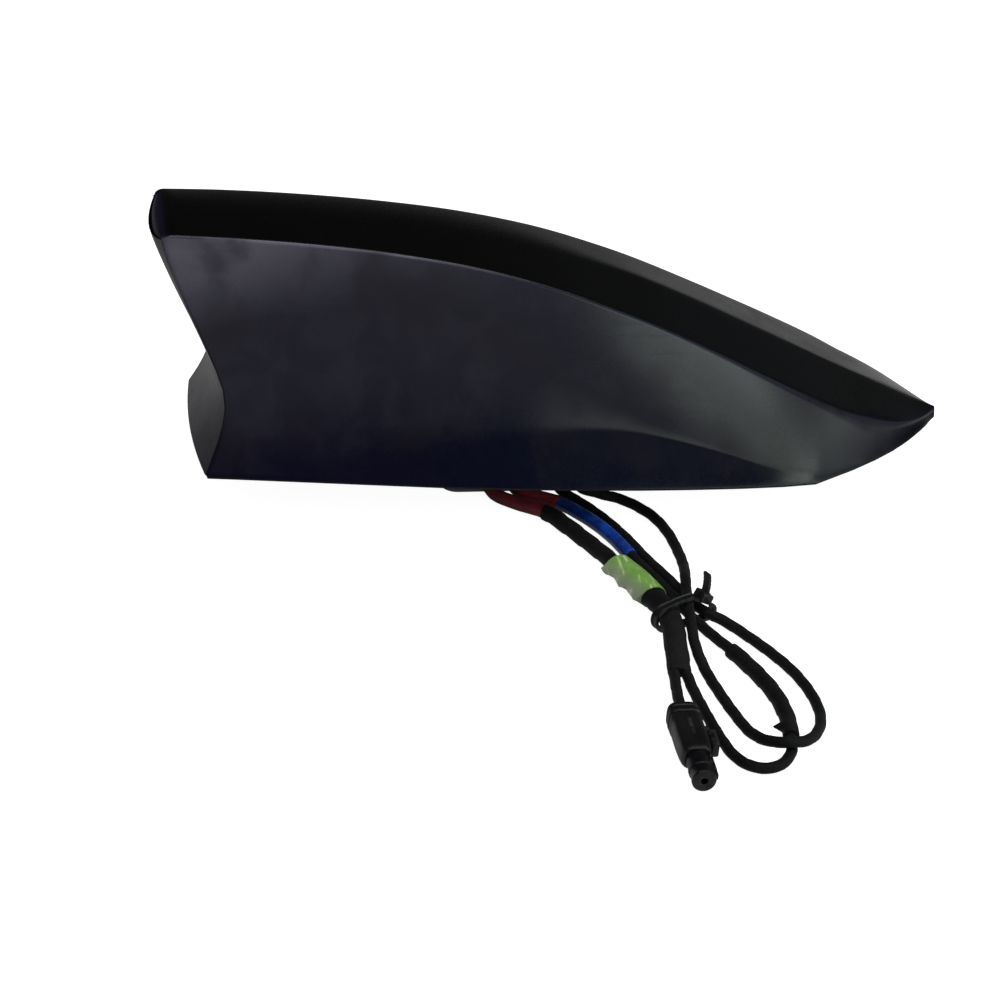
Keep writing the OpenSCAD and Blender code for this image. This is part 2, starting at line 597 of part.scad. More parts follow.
module antenna_frame() {
    inner = cap_half_width - sheet_thickness - snug;
    ends = [radio_ends[0] - frame_overhang, radio_ends[1] + frame_overhang];
    color("#2c2d30") difference() {
        union() {
            along_profile([for (p = [[0, 1], [1, 1], [1, 0], [0, 0]])
                [ends[p[0]], cap_z(ends[p[0]]) - p[1] * tray_thickness]], 0, 2 * inner);
            for (n = [0, 1]) both_sides() let (x = n == 0 ? ends[0] : ends[1] - post[0])
                along_profile([[x, board_top], [x + post[0], board_top],
                    [x + post[0], cap_z(x + post[0]) - 0.5], [x, cap_z(x) - 0.5]], inner - post[1] / 2, post[1]);
        }
        block([radio_ends[0] - snug, -board_thickness / 2 - snug, board_top],
              [radio_ends[1] + snug, board_thickness / 2 + snug, fin_height]);
    }
}
module radio_coil() {
    wire = 0.6;
    core = 2.6;
    turns = 9;
    pitch = 1.7;
    length = pitch * (turns + 1);
    height = 21.4;
    color("#b06a3c") translate([along_radio(0.5) - length / 2, board_thickness / 2 + core + 2 * wire - 0.1,
                                board_top + height]) rotate([0, 90, 0]) {
        cylinder(length, r = core, $fn = 32);
        for (n = [1:turns]) translate([0, 0, n * pitch])
            rotate_extrude($fn = 32) translate([core + wire - 0.1, 0]) circle(wire, $fn = 16);
    }
}
pad_length = 9;
pad_places = [[radio_ends[1] - pad_length, radio_ends[1]], [radio_ends[0], radio_ends[0] + pad_length]];
module foam_pads() {
    half = 5;
    color("#3a3b3e") for (p = pad_places)
        along_profile([[p[0], cap_z(p[0]) + sheet_thickness], [p[1], cap_z(p[1]) + sheet_thickness],
            [p[1], roof_inside(p[1], half) - slide], [p[0], roof_inside(p[0], half) - slide]], 0, 2 * half);
}

// The leads lie on the table. Routes are [x, y, z] of the lead's middle.
front_lead_route = [[-9, -13, -9.2], [-7, -18, -10.1], [-2, -22.5, -10.2], [4, -27.5, -9.8], [8, -34, -9.8],
    [12, -42, -9.8], [15, -49, -9.5], [17, -54.5, -9.2], [20, -62, -9], [22.6, -71, -8.7], [24.6, -80.5, -8.2],
    [24.3, -88, -8.9], [23.4, -95, -9.8], [22.6, -102, -10.3], [21.4, -112, -9.6], [20.4, -121.8, -8.4]];
blue_lead_route = [[-3, -13, -9.2], [-0.5, -17, -10], [4, -19.5, -10.2], [8.5, -22.5, -10.2], [12.5, -27.5, -10.2],
    [16.5, -34, -10.2], [19.5, -41, -10.2], [22, -49, -10.2], [25.5, -58, -10.4], [28.5, -67.5, -10.2],
    [30.9, -77.5, -9.5], [34.5, -85, -10.2], [38.2, -93.7, -9.9], [41.2, -101.2, -9.9], [43.7, -109, -9.9],
    [45, -116, -9.9], [45.3, -124, -9.9], [44.5, -131, -9.9], [43.2, -137, -10.6], [39, -141.8, -10.6],
    [33.8, -141.8, -10.6], [30.2, -137.5, -10.6], [28.5, -131, -10.6], [27.3, -123, -10.6], [26.4, -115, -10.6],
    [25.8, -109, -10.5], [25.5, -102.9, -10.3]];
loop_lead_route = [[8, -13, -9.2], [10.5, -17, -10.4], [15, -23.5, -10.6], [19.2, -31.5, -10.6],
    [22.8, -40.5, -10.6], [25.6, -49.5, -10.6], [29, -58.5, -10.6], [31.8, -67, -10.4], [34.2, -75.4, -9.5],
    [39.5, -80.5, -10.2], [44, -87, -10.6], [48, -94.5, -10.6], [51.5, -103, -10.6], [53.5, -112, -10.6],
    [53.8, -120.5, -10.6], [52, -127.5, -10.2], [48, -134, -8.8], [43, -136.6, -7.6], [38.4, -134, -8.8],
    [35.5, -128, -10.2], [33.5, -119.5, -10.6], [31.8, -110.5, -10.6], [30.4, -101.5, -10.4],
    [29.6, -92.5, -9.2], [29.8, -84.5, -7.2], [30.4, -77.5, -6.4], [31.3, -71, -6.9], [32.6, -63.5, -7.6],
    [34, -55, -9.6], [34.3, -46, -10.6], [33.4, -37, -10.6], [30.8, -28.5, -10.6], [25.5, -21.3, -10.6],
    [19.5, -18.2, -10.2], [15.2, -16.4, -9.6], [14, -13, -9.2]];
// The first and last points are drawn with their faces square to these directions.
out_of_slot = [0, -1, 0];
into_slot = [0, 1, 0];
wrap_end_way = unit([-1, -7, 0]);
plug_way = [0, -1, 0];

cord_sides = 8;
wrap_sides = 16;
function way(route, i, first, last) = i == 0 ? first : i == len(route) - 1 ? last
    : unit(unit(route[i + 1] - route[i]) + unit(route[i] - route[i - 1]));
function across_way(t) = unit(cross([0, 0, 1], t));
// Ring round a route's point: middle moved across by shift, half width and half height
function cord_ring(p, t, shift, half_width, half_height, sides) =
    let (right = across_way(t), up = cross(t, right), turn = 180 / sides)
    [for (k = [0:sides - 1]) let (a = turn + 360 * k / sides)
        p + right * (shift + half_width * cos(a)) + up * half_height * sin(a)];
function skin_quads(from, n, sides) = [for (i = [0:n - 2]) for (k = [0:sides - 1])
    let (a = from + i * sides, l = (k + 1) % sides)
    each [[a + k, a + l, a + sides + l], [a + k, a + sides + l, a + sides + k]]];
module tube(rings) {
    sides = len(rings[0]);
    n = len(rings);
    polyhedron(points = [for (r = rings) each r], faces = concat(
        [for (f = skin_quads(0, n, sides)) [f[0], f[2], f[1]]],
        [[for (k = [0:sides - 1]) k]], [[for (k = [sides - 1:-1:0]) (n - 1) * sides + k]]));
}
// A tube with a bore: the inner and outer rings have the same number of sides
module sleeve(outer, inner) {
    sides = len(outer[0]);
    n = len(outer);
    size = n * sides;
    function rim(i) = [for (k = [0:sides - 1]) let (l = (k + 1) % sides, a = i * sides)
        each i == 0 ? [[a + k, a + l, size + a + l], [a + k, size + a + l, size + a + k]]
                    : [[a + k, size + a + l, a + l], [a + k, size + a + k, size + a + l]]];
    polyhedron(points = concat([for (r = outer) each r], [for (r = inner) each r]), faces = concat(
        [for (f = skin_quads(0, n, sides)) [f[0], f[2], f[1]]], skin_quads(size, n, sides), rim(0), rim(n - 1)));
}
function lead_rings(route, first, last, radius, sides) = [for (i = [0:len(route) - 1])
    cord_ring(route[i], way(route, i, first, last), 0, radius, radius, sides)];
function part_of(list, from, to) = [for (i = [from:to]) list[i]];

// Corner radius of an eight-sided tube of the lead's diameter
lead_radius = lead_diameter / 2;
bore_radius = lead_radius + 0.06;
module lead(route, last) { tube(lead_rings(route, out_of_slot, last, lead_radius, cord_sides)); }
module lead_sleeve(route, from, to, diameter) {
    outer = lead_rings(route, out_of_slot, into_slot, diameter / 2, cord_sides);
    inner = lead_rings(route, out_of_slot, into_slot, bore_radius, cord_sides);
    sleeve(part_of(outer, from, to), part_of(inner, from, to));
}
module front_lead() { color("#131314") lead(front_lead_route, plug_way); }
module blue_lead() { color("#131314") lead(blue_lead_route, -wrap_end_way); }
module loop_lead() { color("#131314") lead(loop_lead_route, into_slot); }
module front_maroon_sleeve() { color("#5f1f25") lead_sleeve(front_lead_route, 0, 3, sleeve_diameter); }
module rear_maroon_sleeve() { color("#5f1f25") lead_sleeve(blue_lead_route, 0, 3, sleeve_diameter); }
module blue_sleeve() { color("#1c3f8a") lead_sleeve(blue_lead_route, 3, 7, sleeve_diameter); }
module lead_tape() { color("#18181a") lead_sleeve(front_lead_route, 3, 7, tape_diameter); }
module loop_tape() { color("#18181a") lead_sleeve(blue_lead_route, 12, 17, tape_diameter - 0.3); }

// Taped splice round the front lead: place in its route, shift to the right, half width, half height
wrap_first = 7;
wrap_shape = [[0.5, 3.2, 2.3], [0.6, 3.4, 2.45], [0.8, 3.2, 2.6], [0.8, 2.9, 2.6], [1.0, 2.9, 2.45],
              [1.25, 2.95, 2.05], [1.45, 3, 1.68]];
function wrap_way(i) = i == len(wrap_shape) - 1 ? wrap_end_way
    : way(front_lead_route, wrap_first + i, out_of_slot, plug_way);
function wrap_rings(extra, from, to) = [for (i = [from:to]) let (s = wrap_shape[i])
    cord_ring(front_lead_route[wrap_first + i], wrap_way(i), s[0], s[1] + extra, s[2] + extra, wrap_sides)];
function wrap_bore() = [for (i = [0:len(wrap_shape) - 1])
    cord_ring(front_lead_route[wrap_first + i], wrap_way(i), 0, bore_radius + 0.06, bore_radius + 0.06, wrap_sides)];
module splice_wrap() { color("#17171a") sleeve(wrap_rings(0, 0, len(wrap_shape) - 1), wrap_bore()); }

// Creased paper label folded round the splice, with its stuck ends standing out on the near side
label_gap = 0.1;
label_thickness = 0.25;
label_flag = 1.4;
module paper_label() {
    outer = [for (i = [0:2]) let (s = wrap_shape[i], grown = label_gap + label_thickness, side = label_flag / 2)
        cord_ring(front_lead_route[wrap_first + i], wrap_way(i), s[0] - side, s[1] + grown + side, s[2] + grown,
            wrap_sides)];
    color("#7fa05a") sleeve(outer, wrap_rings(label_gap, 0, 2));
}

// Cable tie, drawn tight round the leads where they cross. Each entry is where a lead passes through it:
// place across, height and radius. Tangents at even turns meet at the corners of the strap.
tie_middle = [29.1, -78.8];
tie_turn = 24;
tie_leads = [[-5.15, -8.23, 2.72], [-3.9, -8.23, 2.72], [2.19, -9.54, 1.45], [7, -9.53, 1.52],
             [1.35, -6.36, 1.76]];
tie_sides = 36;
tie_head = [3.6, 2.4];
tie_head_place = [4.7, -6.81];
tie_slope = -31;
tie_end = 5.4;
function tie_reach(a, out) = max([for (c = tie_leads) c[0] * cos(a) + c[1] * sin(a) + c[2]]) + out;
function tie_corner(a, out) =
    let (b = a + 360 / tie_sides, h = tie_reach(a, out), k = tie_reach(b, out))
    [h * sin(b) - k * sin(a), k * cos(a) - h * cos(b)] / sin(b - a);
function tie_outline(out) = [for (i = [0:tie_sides - 1]) tie_corner(i * 360 / tie_sides, out)];
module cable_tie() {
    t = tie_thickness;
    color("#202124") translate([tie_middle[0], tie_middle[1], 0]) rotate([90, 0, tie_turn]) {
        translate([0, 0, -tie_width / 2]) linear_extrude(tie_width) difference() {
            polygon(tie_outline(t));
            polygon(tie_outline(0));
        }
        // Head and the cut end of the strap
        translate([tie_head_place[0], tie_head_place[1], 0]) rotate([0, 0, tie_slope]) {
            translate([-tie_head[0] / 2, t - 0.1, -tie_width / 2 - 0.8])
                cube([tie_head[0], tie_head[1], tie_width + 1.6]);
            translate([-0.6, t + tie_head[1] - 0.3, -tie_width / 2]) rotate([0, 0, 110])
                translate([0, -t, 0]) cube([tie_end, t, tie_width]);
        }
    }
}

// The plug lies on the table, drawn from its rear face along the way it points.
plug_rear = front_lead_route[len(front_lead_route) - 1];
plug_turn = atan2(plug_way[1], plug_way[0]);
module at_plug() { translate(plug_rear) rotate([0, 0, plug_turn]) children(); }
plug_corner = 1.2;
nose_drop = -0.4;
contact_start = plug_length - 5;
plug_lift = table + plug_height / 2 - plug_rear[2];
barrel_bore = plug_nose_diameter / 2 - 0.9;
module along_plug() { rotate([90, 0, 90]) children(); }
module plug_housing() {
    color("#17171a") at_plug() translate([0, 0, plug_lift]) difference() {
        union() {
            along_plug() rounded_box([plug_width, plug_height, plug_length], plug_corner);
            along_plug() translate([0, nose_drop, 0])
                cylinder(plug_length + plug_nose_length, d = plug_nose_diameter, $fn = 48);
            // Ridges behind the latch, and the keying rib on the barrel
            for (n = [0:2]) translate([1.5 + 2 * n, 0, 0]) along_plug()
                rounded_box([plug_width + 0.6, plug_height - 0.4, 1], plug_corner);
            translate([plug_length - 1, plug_nose_diameter / 2 - 0.6, -1]) cube([6.5, 1.3, 1.6]);
        }
        translate([plug_length + 2, 0, 0]) along_plug()
            translate([0, nose_drop, 0]) cylinder(plug_nose_length, r = barrel_bore, $fn = 48);
        translate([contact_start, 0, 0]) along_plug()
            translate([0, nose_drop, 0]) cylinder(plug_nose_length, r = contact_outer, $fn = 48);
    }
}
contact_outer = barrel_bore - 0.4;
contact_inner = contact_outer - 0.35;
module plug_contact() {
    color("#c2a15a") at_plug() translate([contact_start, 0, plug_lift]) along_plug() translate([0, nose_drop, 0])
        difference() {
            cylinder(plug_nose_length + 3, r = contact_outer, $fn = 48);
            translate([0, 0, 1]) cylinder(plug_nose_length + 3, r = contact_inner, $fn = 48);
        }
}
module plug_insulator() {
    color("#e6e3d8") at_plug() translate([contact_start + 1, 0, plug_lift]) along_plug() translate([0, nose_drop, 0])
        difference() {
            cylinder(plug_nose_length - 3, r = contact_inner, $fn = 48);
            translate([0, 0, -1]) cylinder(plug_nose_length, r = pin_radius, $fn = 24);
        }
}
module plug_pin() {
    color("#c9b26a") at_plug() translate([contact_start + 1, 0, plug_lift]) along_plug() translate([0, nose_drop, 0])
        cylinder(plug_nose_length, r = pin_radius, $fn = 24);
}
// Locking slide on the side of the plug
module plug_lock() {
    color("#1f2022") at_plug() translate([0, plug_width / 2 + 0.02, plug_lift]) {
        translate([plug_length - 9, 0, -2]) cube([6, 2, 4]);
        translate([plug_length - 12, 0, -1.2]) cube([3.2, 0.9, 2.4]);
    }
}

fin_cover();
base_seal();
base_plate();
ground_spring();
snap_springs();
retaining_clips();
clip_rivets();
cable_grommet();
inner_leads();
main_board();
board_screws();
shield_can();
board_chips();
navigation_patch();
navigation_electrode();
radio_patch();
radio_electrode();
patch_pins();
front_antenna();
rear_antenna();
radio_board();
antenna_cap();
antenna_frame();
radio_coil();
foam_pads();
front_lead();
blue_lead();
loop_lead();
front_maroon_sleeve();
rear_maroon_sleeve();
blue_sleeve();
lead_tape();
loop_tape();
splice_wrap();
paper_label();
cable_tie();
plug_housing();
plug_contact();
plug_insulator();
plug_pin();
plug_lock();
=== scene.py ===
# %% [markdown]
# # A shark fin aerial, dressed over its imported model
#
# A car's roof aerial is a hollow plastic fin over a circuit board. This one lies on a table with
# its leads in a loose loop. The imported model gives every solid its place, so each piece made here
# is drawn in the same frame: the nose points along +X, the camera stands on the -Y side, and the
# roof plane is z = 0. Lengths are written in millimetres and turned into metres at the last moment.

# %% Load the frame
import math

import bmesh
import bpy
from mathutils import Matrix, Vector, noise


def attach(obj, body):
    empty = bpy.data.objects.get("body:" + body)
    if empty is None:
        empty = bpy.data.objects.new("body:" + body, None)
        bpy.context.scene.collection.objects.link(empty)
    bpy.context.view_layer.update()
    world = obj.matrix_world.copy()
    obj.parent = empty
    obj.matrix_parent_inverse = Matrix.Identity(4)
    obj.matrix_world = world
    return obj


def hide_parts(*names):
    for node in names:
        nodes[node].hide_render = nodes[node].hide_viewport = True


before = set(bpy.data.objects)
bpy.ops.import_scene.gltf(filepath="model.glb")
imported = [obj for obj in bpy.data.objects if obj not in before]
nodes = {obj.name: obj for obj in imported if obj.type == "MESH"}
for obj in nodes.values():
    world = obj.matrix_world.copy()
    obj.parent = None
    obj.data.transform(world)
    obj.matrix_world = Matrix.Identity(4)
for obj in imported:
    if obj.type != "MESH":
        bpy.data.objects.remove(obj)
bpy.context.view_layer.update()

MM = 0.001
TABLE_Z = -12.0 * MM

# %% [markdown]
# ## The camera
#
# A product photo is often taken from a little above with a long lens. Its place is found by
# matching the fin's outline and creases. Three numbers say where it stands, and a fourth how far
# the picture is tilted. A matrix holds the camera's right, up and back directions, which keeps the
# tilt exact.

# %% Place the camera
CAMERA_TURN = math.radians(10.905)      # towards the tail
CAMERA_HEIGHT = math.radians(30)
CAMERA_TILT = math.radians(4.402)
CAMERA_DISTANCE = 1013.1 * MM
CAMERA_TARGET = Vector((-2.55, 0, -22.2)) * MM
SENSOR = 36
LENS = 141.24


def camera_matrix():
    back = Vector((-math.sin(CAMERA_TURN) * math.cos(CAMERA_HEIGHT),
                   -math.cos(CAMERA_TURN) * math.cos(CAMERA_HEIGHT), math.sin(CAMERA_HEIGHT)))
    level = Vector((math.cos(CAMERA_TURN), -math.sin(CAMERA_TURN), 0))
    upright = back.cross(level)
    right = level * math.cos(CAMERA_TILT) + upright * math.sin(CAMERA_TILT)
    up = upright * math.cos(CAMERA_TILT) - level * math.sin(CAMERA_TILT)
    turn = Matrix((right, up, back)).transposed().to_4x4()
    return Matrix.Translation(CAMERA_TARGET + back * CAMERA_DISTANCE) @ turn


camera = bpy.data.objects.new("camera", bpy.data.cameras.new("camera"))
camera.data.sensor_width = SENSOR
camera.data.lens = LENS
camera.data.clip_start, camera.data.clip_end = 0.05, 20
camera.matrix_world = camera_matrix()
bpy.context.scene.collection.objects.link(camera)
bpy.context.scene.camera = camera
print("camera at", [round(v, 3) for v in camera.location])

# %% [markdown]
# ## Swept pieces
#
# Leads, sleeves, tape and the paper label all follow a line. Blender's curve bevel can draw a round
# tube, but tape has steps and a label has folds. So one helper sweeps a ring along a smooth line
# and asks a small function for the radius at each place. The line itself is a Catmull-Rom curve: it
# passes through every point of the route without a corner.

# %% Smooth lines
def smooth_line(points, step):
    """Points about one step apart on a smooth curve through the given ones."""
    ends = [points[0] * 2 - points[1], *points, points[-1] * 2 - points[-2]]
    line = []
    for a, b, c, d in zip(ends, ends[1:], ends[2:], ends[3:]):
        count = max(2, round((c - b).length / step))
        for i in range(count):
            t = i / count
            line.append(((b * 2) + (c - a) * t + (a * 2 - b * 5 + c * 4 - d) * t ** 2
                         + (b * 3 - a - c * 3 + d) * t ** 3) / 2)
    return line + [points[-1]]


def travelled(line):
    """How far along the line each of its points is."""
    lengths = [0.0]
    for a, b in zip(line, line[1:]):
        lengths.append(lengths[-1] + (b - a).length)
    return lengths


def directions(line, first=None, last=None):
    ways = [(b - a).normalized() for a, b in zip([line[0]] + line[:-1], line[1:] + [line[-1]])]
    ways[0] = first or ways[0]
    ways[-1] = last or ways[-1]
    return ways


# %% Rings along a line
def as_object(name, mesh, material, sharp):
    """A smooth-shaded object, with creases kept where its mesh bends more than sharp."""
    mesh.shade_smooth()
    mesh.set_sharp_from_angle(angle=math.radians(sharp))
    mesh.materials.append(material)
    piece = bpy.data.objects.new(name, mesh)
    bpy.context.scene.collection.objects.link(piece)
    return piece


def add_mesh(name, vertices, faces, material, sharp=40):
    """An object from plain lists in millimetres."""
    mesh = bpy.data.meshes.new(name)
    mesh.from_pydata([tuple(v * MM) for v in vertices], [], faces)
    mesh.validate()
    return as_object(name, mesh, material, sharp)


def sweep(name, line, ring, material, sides=16, first=None, last=None, bore=None, sharp=40):
    """Rings along a line. ring(s, turn) gives (across, up) at the distance s and the angle turn."""
    lengths, ways = travelled(line), directions(line, first, last)

    def skin(shape):
        made = []
        for point, s, way in zip(line, lengths, ways):
            across = Vector((0, 0, 1)).cross(way).normalized()
            up = way.cross(across)
            for k in range(sides):
                x, y = shape(s, 2 * math.pi * k / sides)
                made.append(point + across * x + up * y)
        return made

    def quads(start):
        starts = [start + i * sides for i in range(len(line) - 1)]
        return [(a + k, a + (k + 1) % sides, a + sides + (k + 1) % sides, a + sides + k)
                for a in starts for k in range(sides)]

    vertices, faces = skin(ring), quads(0)
    size = len(vertices)
    if bore is None:
        faces += [tuple(range(sides - 1, -1, -1)), tuple(range(size - sides, size))]
    else:
        vertices += skin(bore)
        faces += [f[::-1] for f in quads(size)]
        for i, flip in ((0, True), (len(line) - 1, False)):
            for k in range(sides):
                a, b = i * sides + k, i * sides + (k + 1) % sides
                rim = (a, b, size + b, size + a)
                faces.append(rim[::-1] if flip else rim)
    return add_mesh(name, vertices, faces, material, sharp)


# %% Small helpers for shapes
def polar(radius, turn):
    return radius * math.cos(turn), radius * math.sin(turn)


def circle(radius):
    return lambda s, turn: polar(radius, turn)


def between(a, b, t):
    return a + (b - a) * t


def share(part, whole):
    """How much of the whole a part is, kept between 0 and 1."""
    return min(max(part / whole, 0), 1)


def dress(piece, node):
    """Hide the solid a piece stands for, if any, and let the piece ride on the body."""
    if node:
        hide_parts(node)
    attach(piece, "root")
    return piece


# %% [markdown]
# ## A kit for finishes
#
# Every finish is a Principled shader with something going on in it, because a real surface is never
# one flat colour. Effects that several finishes share are node groups with named inputs: moulded
# grain, uneven colour, settled dust, rubbed edges and the fibres of fleece tape. Each is built once
# and placed in a material with its own values.

# %% Node group helpers
def new_group(name, inputs, outputs):
    """An empty shader group with its input and output nodes."""
    group = bpy.data.node_groups.new(name, "ShaderNodeTree")
    for label, kind, value in inputs:
        group.interface.new_socket(label, in_out="INPUT", socket_type=kind).default_value = value
    for label, kind in outputs:
        group.interface.new_socket(label, in_out="OUTPUT", socket_type=kind)
    return group, group.nodes.new("NodeGroupInput"), group.nodes.new("NodeGroupOutput")


FLOAT, COLOUR = "NodeSocketFloat", "NodeSocketColor"


def math_node(tree, operation, a, b=None, clamp=False):
    node = tree.nodes.new("ShaderNodeMath")
    node.operation = operation
    node.use_clamp = clamp
    for socket, value in zip(node.inputs, (a, b)):
        if isinstance(value, bpy.types.NodeSocket):
            tree.links.new(value, socket)
        elif value is not None:
            socket.default_value = value
    return node.outputs[0]


def times(tree, *values):
    """The product of sockets and numbers."""
    result = values[0]
    for value in values[1:]:
        result = math_node(tree, "MULTIPLY", result, value)
    return result


def plus(tree, *values):
    """The sum of sockets and numbers."""
    result = values[0]
    for value in values[1:]:
        result = math_node(tree, "ADD", result, value)
    return result


# %% Noise, places and ramps
def noise_node(tree, scale, detail=3.0, place=None, distortion=0.0):
    """Noise over the object's own coordinates, in metres: scale 1000 means one bump a millimetre."""
    node = tree.nodes.new("ShaderNodeTexNoise")
    node.inputs["Detail"].default_value = detail
    node.inputs["Distortion"].default_value = distortion
    if isinstance(scale, bpy.types.NodeSocket):
        tree.links.new(scale, node.inputs["Scale"])
    else:
        node.inputs["Scale"].default_value = scale
    tree.links.new(place or object_place(tree), node.inputs["Vector"])
    return node.outputs["Fac"]


def object_place(tree):
    return tree.nodes.new("ShaderNodeTexCoord").outputs["Object"]


def surface_normal(tree):
    return tree.nodes.new("ShaderNodeNewGeometry").outputs["Normal"]


def parts_of(tree, vector):
    """The X, Y and Z of a vector."""
    node = tree.nodes.new("ShaderNodeSeparateXYZ")
    tree.links.new(vector, node.inputs[0])
    return node.outputs


def stretched_place(tree, stretch, turn=(0, 0, 0)):
    mapping = tree.nodes.new("ShaderNodeMapping")
    mapping.inputs["Scale"].default_value = stretch
    mapping.inputs["Rotation"].default_value = turn
    tree.links.new(object_place(tree), mapping.inputs["Vector"])
    return mapping.outputs["Vector"]


def ramp(tree, value, low, high):
    """0 below low and 1 above high, with a smooth step between."""
    node = tree.nodes.new("ShaderNodeMapRange")
    node.interpolation_type = "SMOOTHSTEP"
    node.inputs["From Min"].default_value = low
    node.inputs["From Max"].default_value = high
    tree.links.new(value, node.inputs["Value"])
    return node.outputs["Result"]


def mix_colour(tree, amount, a, b):
    node = tree.nodes.new("ShaderNodeMix")
    node.data_type = "RGBA"
    for label, value in (("Factor", amount), ("A", a), ("B", b)):
        socket = node.inputs[label]
        if isinstance(value, bpy.types.NodeSocket):
            tree.links.new(value, socket)
        else:
            socket.default_value = value
    return node.outputs["Result"]


def linear(red, green, blue):
    """A colour as read off a screen, 0 to 255, in the linear values that shaders work in."""
    def one(v):
        v = v / 255
        return v / 12.92 if v <= 0.04045 else ((v + 0.055) / 1.055) ** 2.4
    return one(red), one(green), one(blue), 1.0


def tinted(tree, colour, amount, other):
    """A colour with a share of another one, given as read off a screen."""
    return mix_colour(tree, amount, colour, linear(*other))


def opened(material):
    """The tree, the shader and the colour socket of a finished material, so that more can be added."""
    shader = material.node_tree.nodes["Principled BSDF"]
    return material.node_tree, shader, shader.inputs["Base Color"].links[0].from_socket


# %% Moulded grain and uneven colour
def make_grain():
    """Height of the fine texture that a spark-eroded mould leaves on plastic."""
    group, source, result = new_group(
        "moulded grain", [("Fineness", FLOAT, 4000.0), ("Waviness", FLOAT, 0.3)], [("Height", FLOAT)])
    fine = noise_node(group, source.outputs["Fineness"], detail=2.0)
    wide = noise_node(group, times(group, source.outputs["Fineness"], 0.06), detail=2.0)
    waves = times(group, wide, source.outputs["Waviness"])
    group.links.new(plus(group, fine, waves), result.inputs["Height"])
    return group


def make_uneven():
    """Two close colours in soft patches, with a finer mottle over them."""
    group, source, result = new_group(
        "uneven colour",
        [("Colour", COLOUR, (0.1, 0.1, 0.1, 1)), ("Other", COLOUR, (0.05, 0.05, 0.05, 1)),
         ("Patches", FLOAT, 60.0), ("Mottle", FLOAT, 900.0)],
        [("Colour", COLOUR), ("Mask", FLOAT)])
    patches = ramp(group, noise_node(group, source.outputs["Patches"], detail=4.0), 0.35, 0.65)
    mottle = ramp(group, noise_node(group, source.outputs["Mottle"], detail=3.0), 0.3, 0.7)
    mask = plus(group, times(group, patches, 0.6), times(group, mottle, 0.4))
    group.links.new(mix_colour(group, mask, source.outputs["Colour"], source.outputs["Other"]),
                    result.inputs["Colour"])
    group.links.new(mask, result.inputs["Mask"])
    return group


GRAIN, UNEVEN = make_grain(), make_uneven()


# %% Settled dust, rubbed edges and fleece
def make_dust():
    """Dust lies in specks and patches on what faces up."""
    group, source, result = new_group(
        "settled dust", [("Amount", FLOAT, 0.1), ("Speck", FLOAT, 3000.0)], [("Mask", FLOAT)])
    upward = parts_of(group, surface_normal(group))["Z"]
    specks = ramp(group, noise_node(group, source.outputs["Speck"], detail=2.0), 0.56, 0.7)
    patches = ramp(group, noise_node(group, 45.0, detail=3.0), 0.4, 0.7)
    lying = times(group, ramp(group, upward, 0.0, 0.9), source.outputs["Amount"])
    spread = plus(group, times(group, specks, 0.6), times(group, patches, 0.4))
    group.links.new(times(group, lying, spread), result.inputs["Mask"])
    return group


def make_rubbed():
    """Corners that stand out are rubbed brighter, in an uneven way."""
    group, source, result = new_group("rubbed edges", [("Amount", FLOAT, 0.5)], [("Mask", FLOAT)])
    point = group.nodes.new("ShaderNodeNewGeometry").outputs["Pointiness"]
    broken = ramp(group, noise_node(group, 700.0, detail=4.0), 0.35, 0.7)
    edge = times(group, ramp(group, point, 0.52, 0.62), broken, source.outputs["Amount"])
    group.links.new(edge, result.inputs["Mask"])
    return group


def make_fleece():
    """Short fibres pressed flat, with pale flecks painted as glints where they would catch the light.
    """
    group, source, result = new_group("fleece fibres", [("Fineness", FLOAT, 2600.0)],
                                      [("Height", FLOAT), ("Flecks", FLOAT)])
    tangle = noise_node(group, source.outputs["Fineness"], detail=5.0, distortion=1.5)
    lumps = noise_node(group, times(group, source.outputs["Fineness"], 0.22), detail=3.0)
    group.links.new(plus(group, tangle, lumps), result.inputs["Height"])
    group.links.new(ramp(group, tangle, 0.54, 0.72), result.inputs["Flecks"])
    return group


DUST, RUBBED, FLEECE = make_dust(), make_rubbed(), make_fleece()
print("shared groups:", [g.name for g in (GRAIN, UNEVEN, DUST, RUBBED, FLEECE)])


# %% One maker for most finishes
def place_group(tree, group, **values):
    node = tree.nodes.new("ShaderNodeGroup")
    node.node_tree = group
    for label, value in values.items():
        node.inputs[label].default_value = value
    return node


DUST_COLOUR = (150, 148, 142)


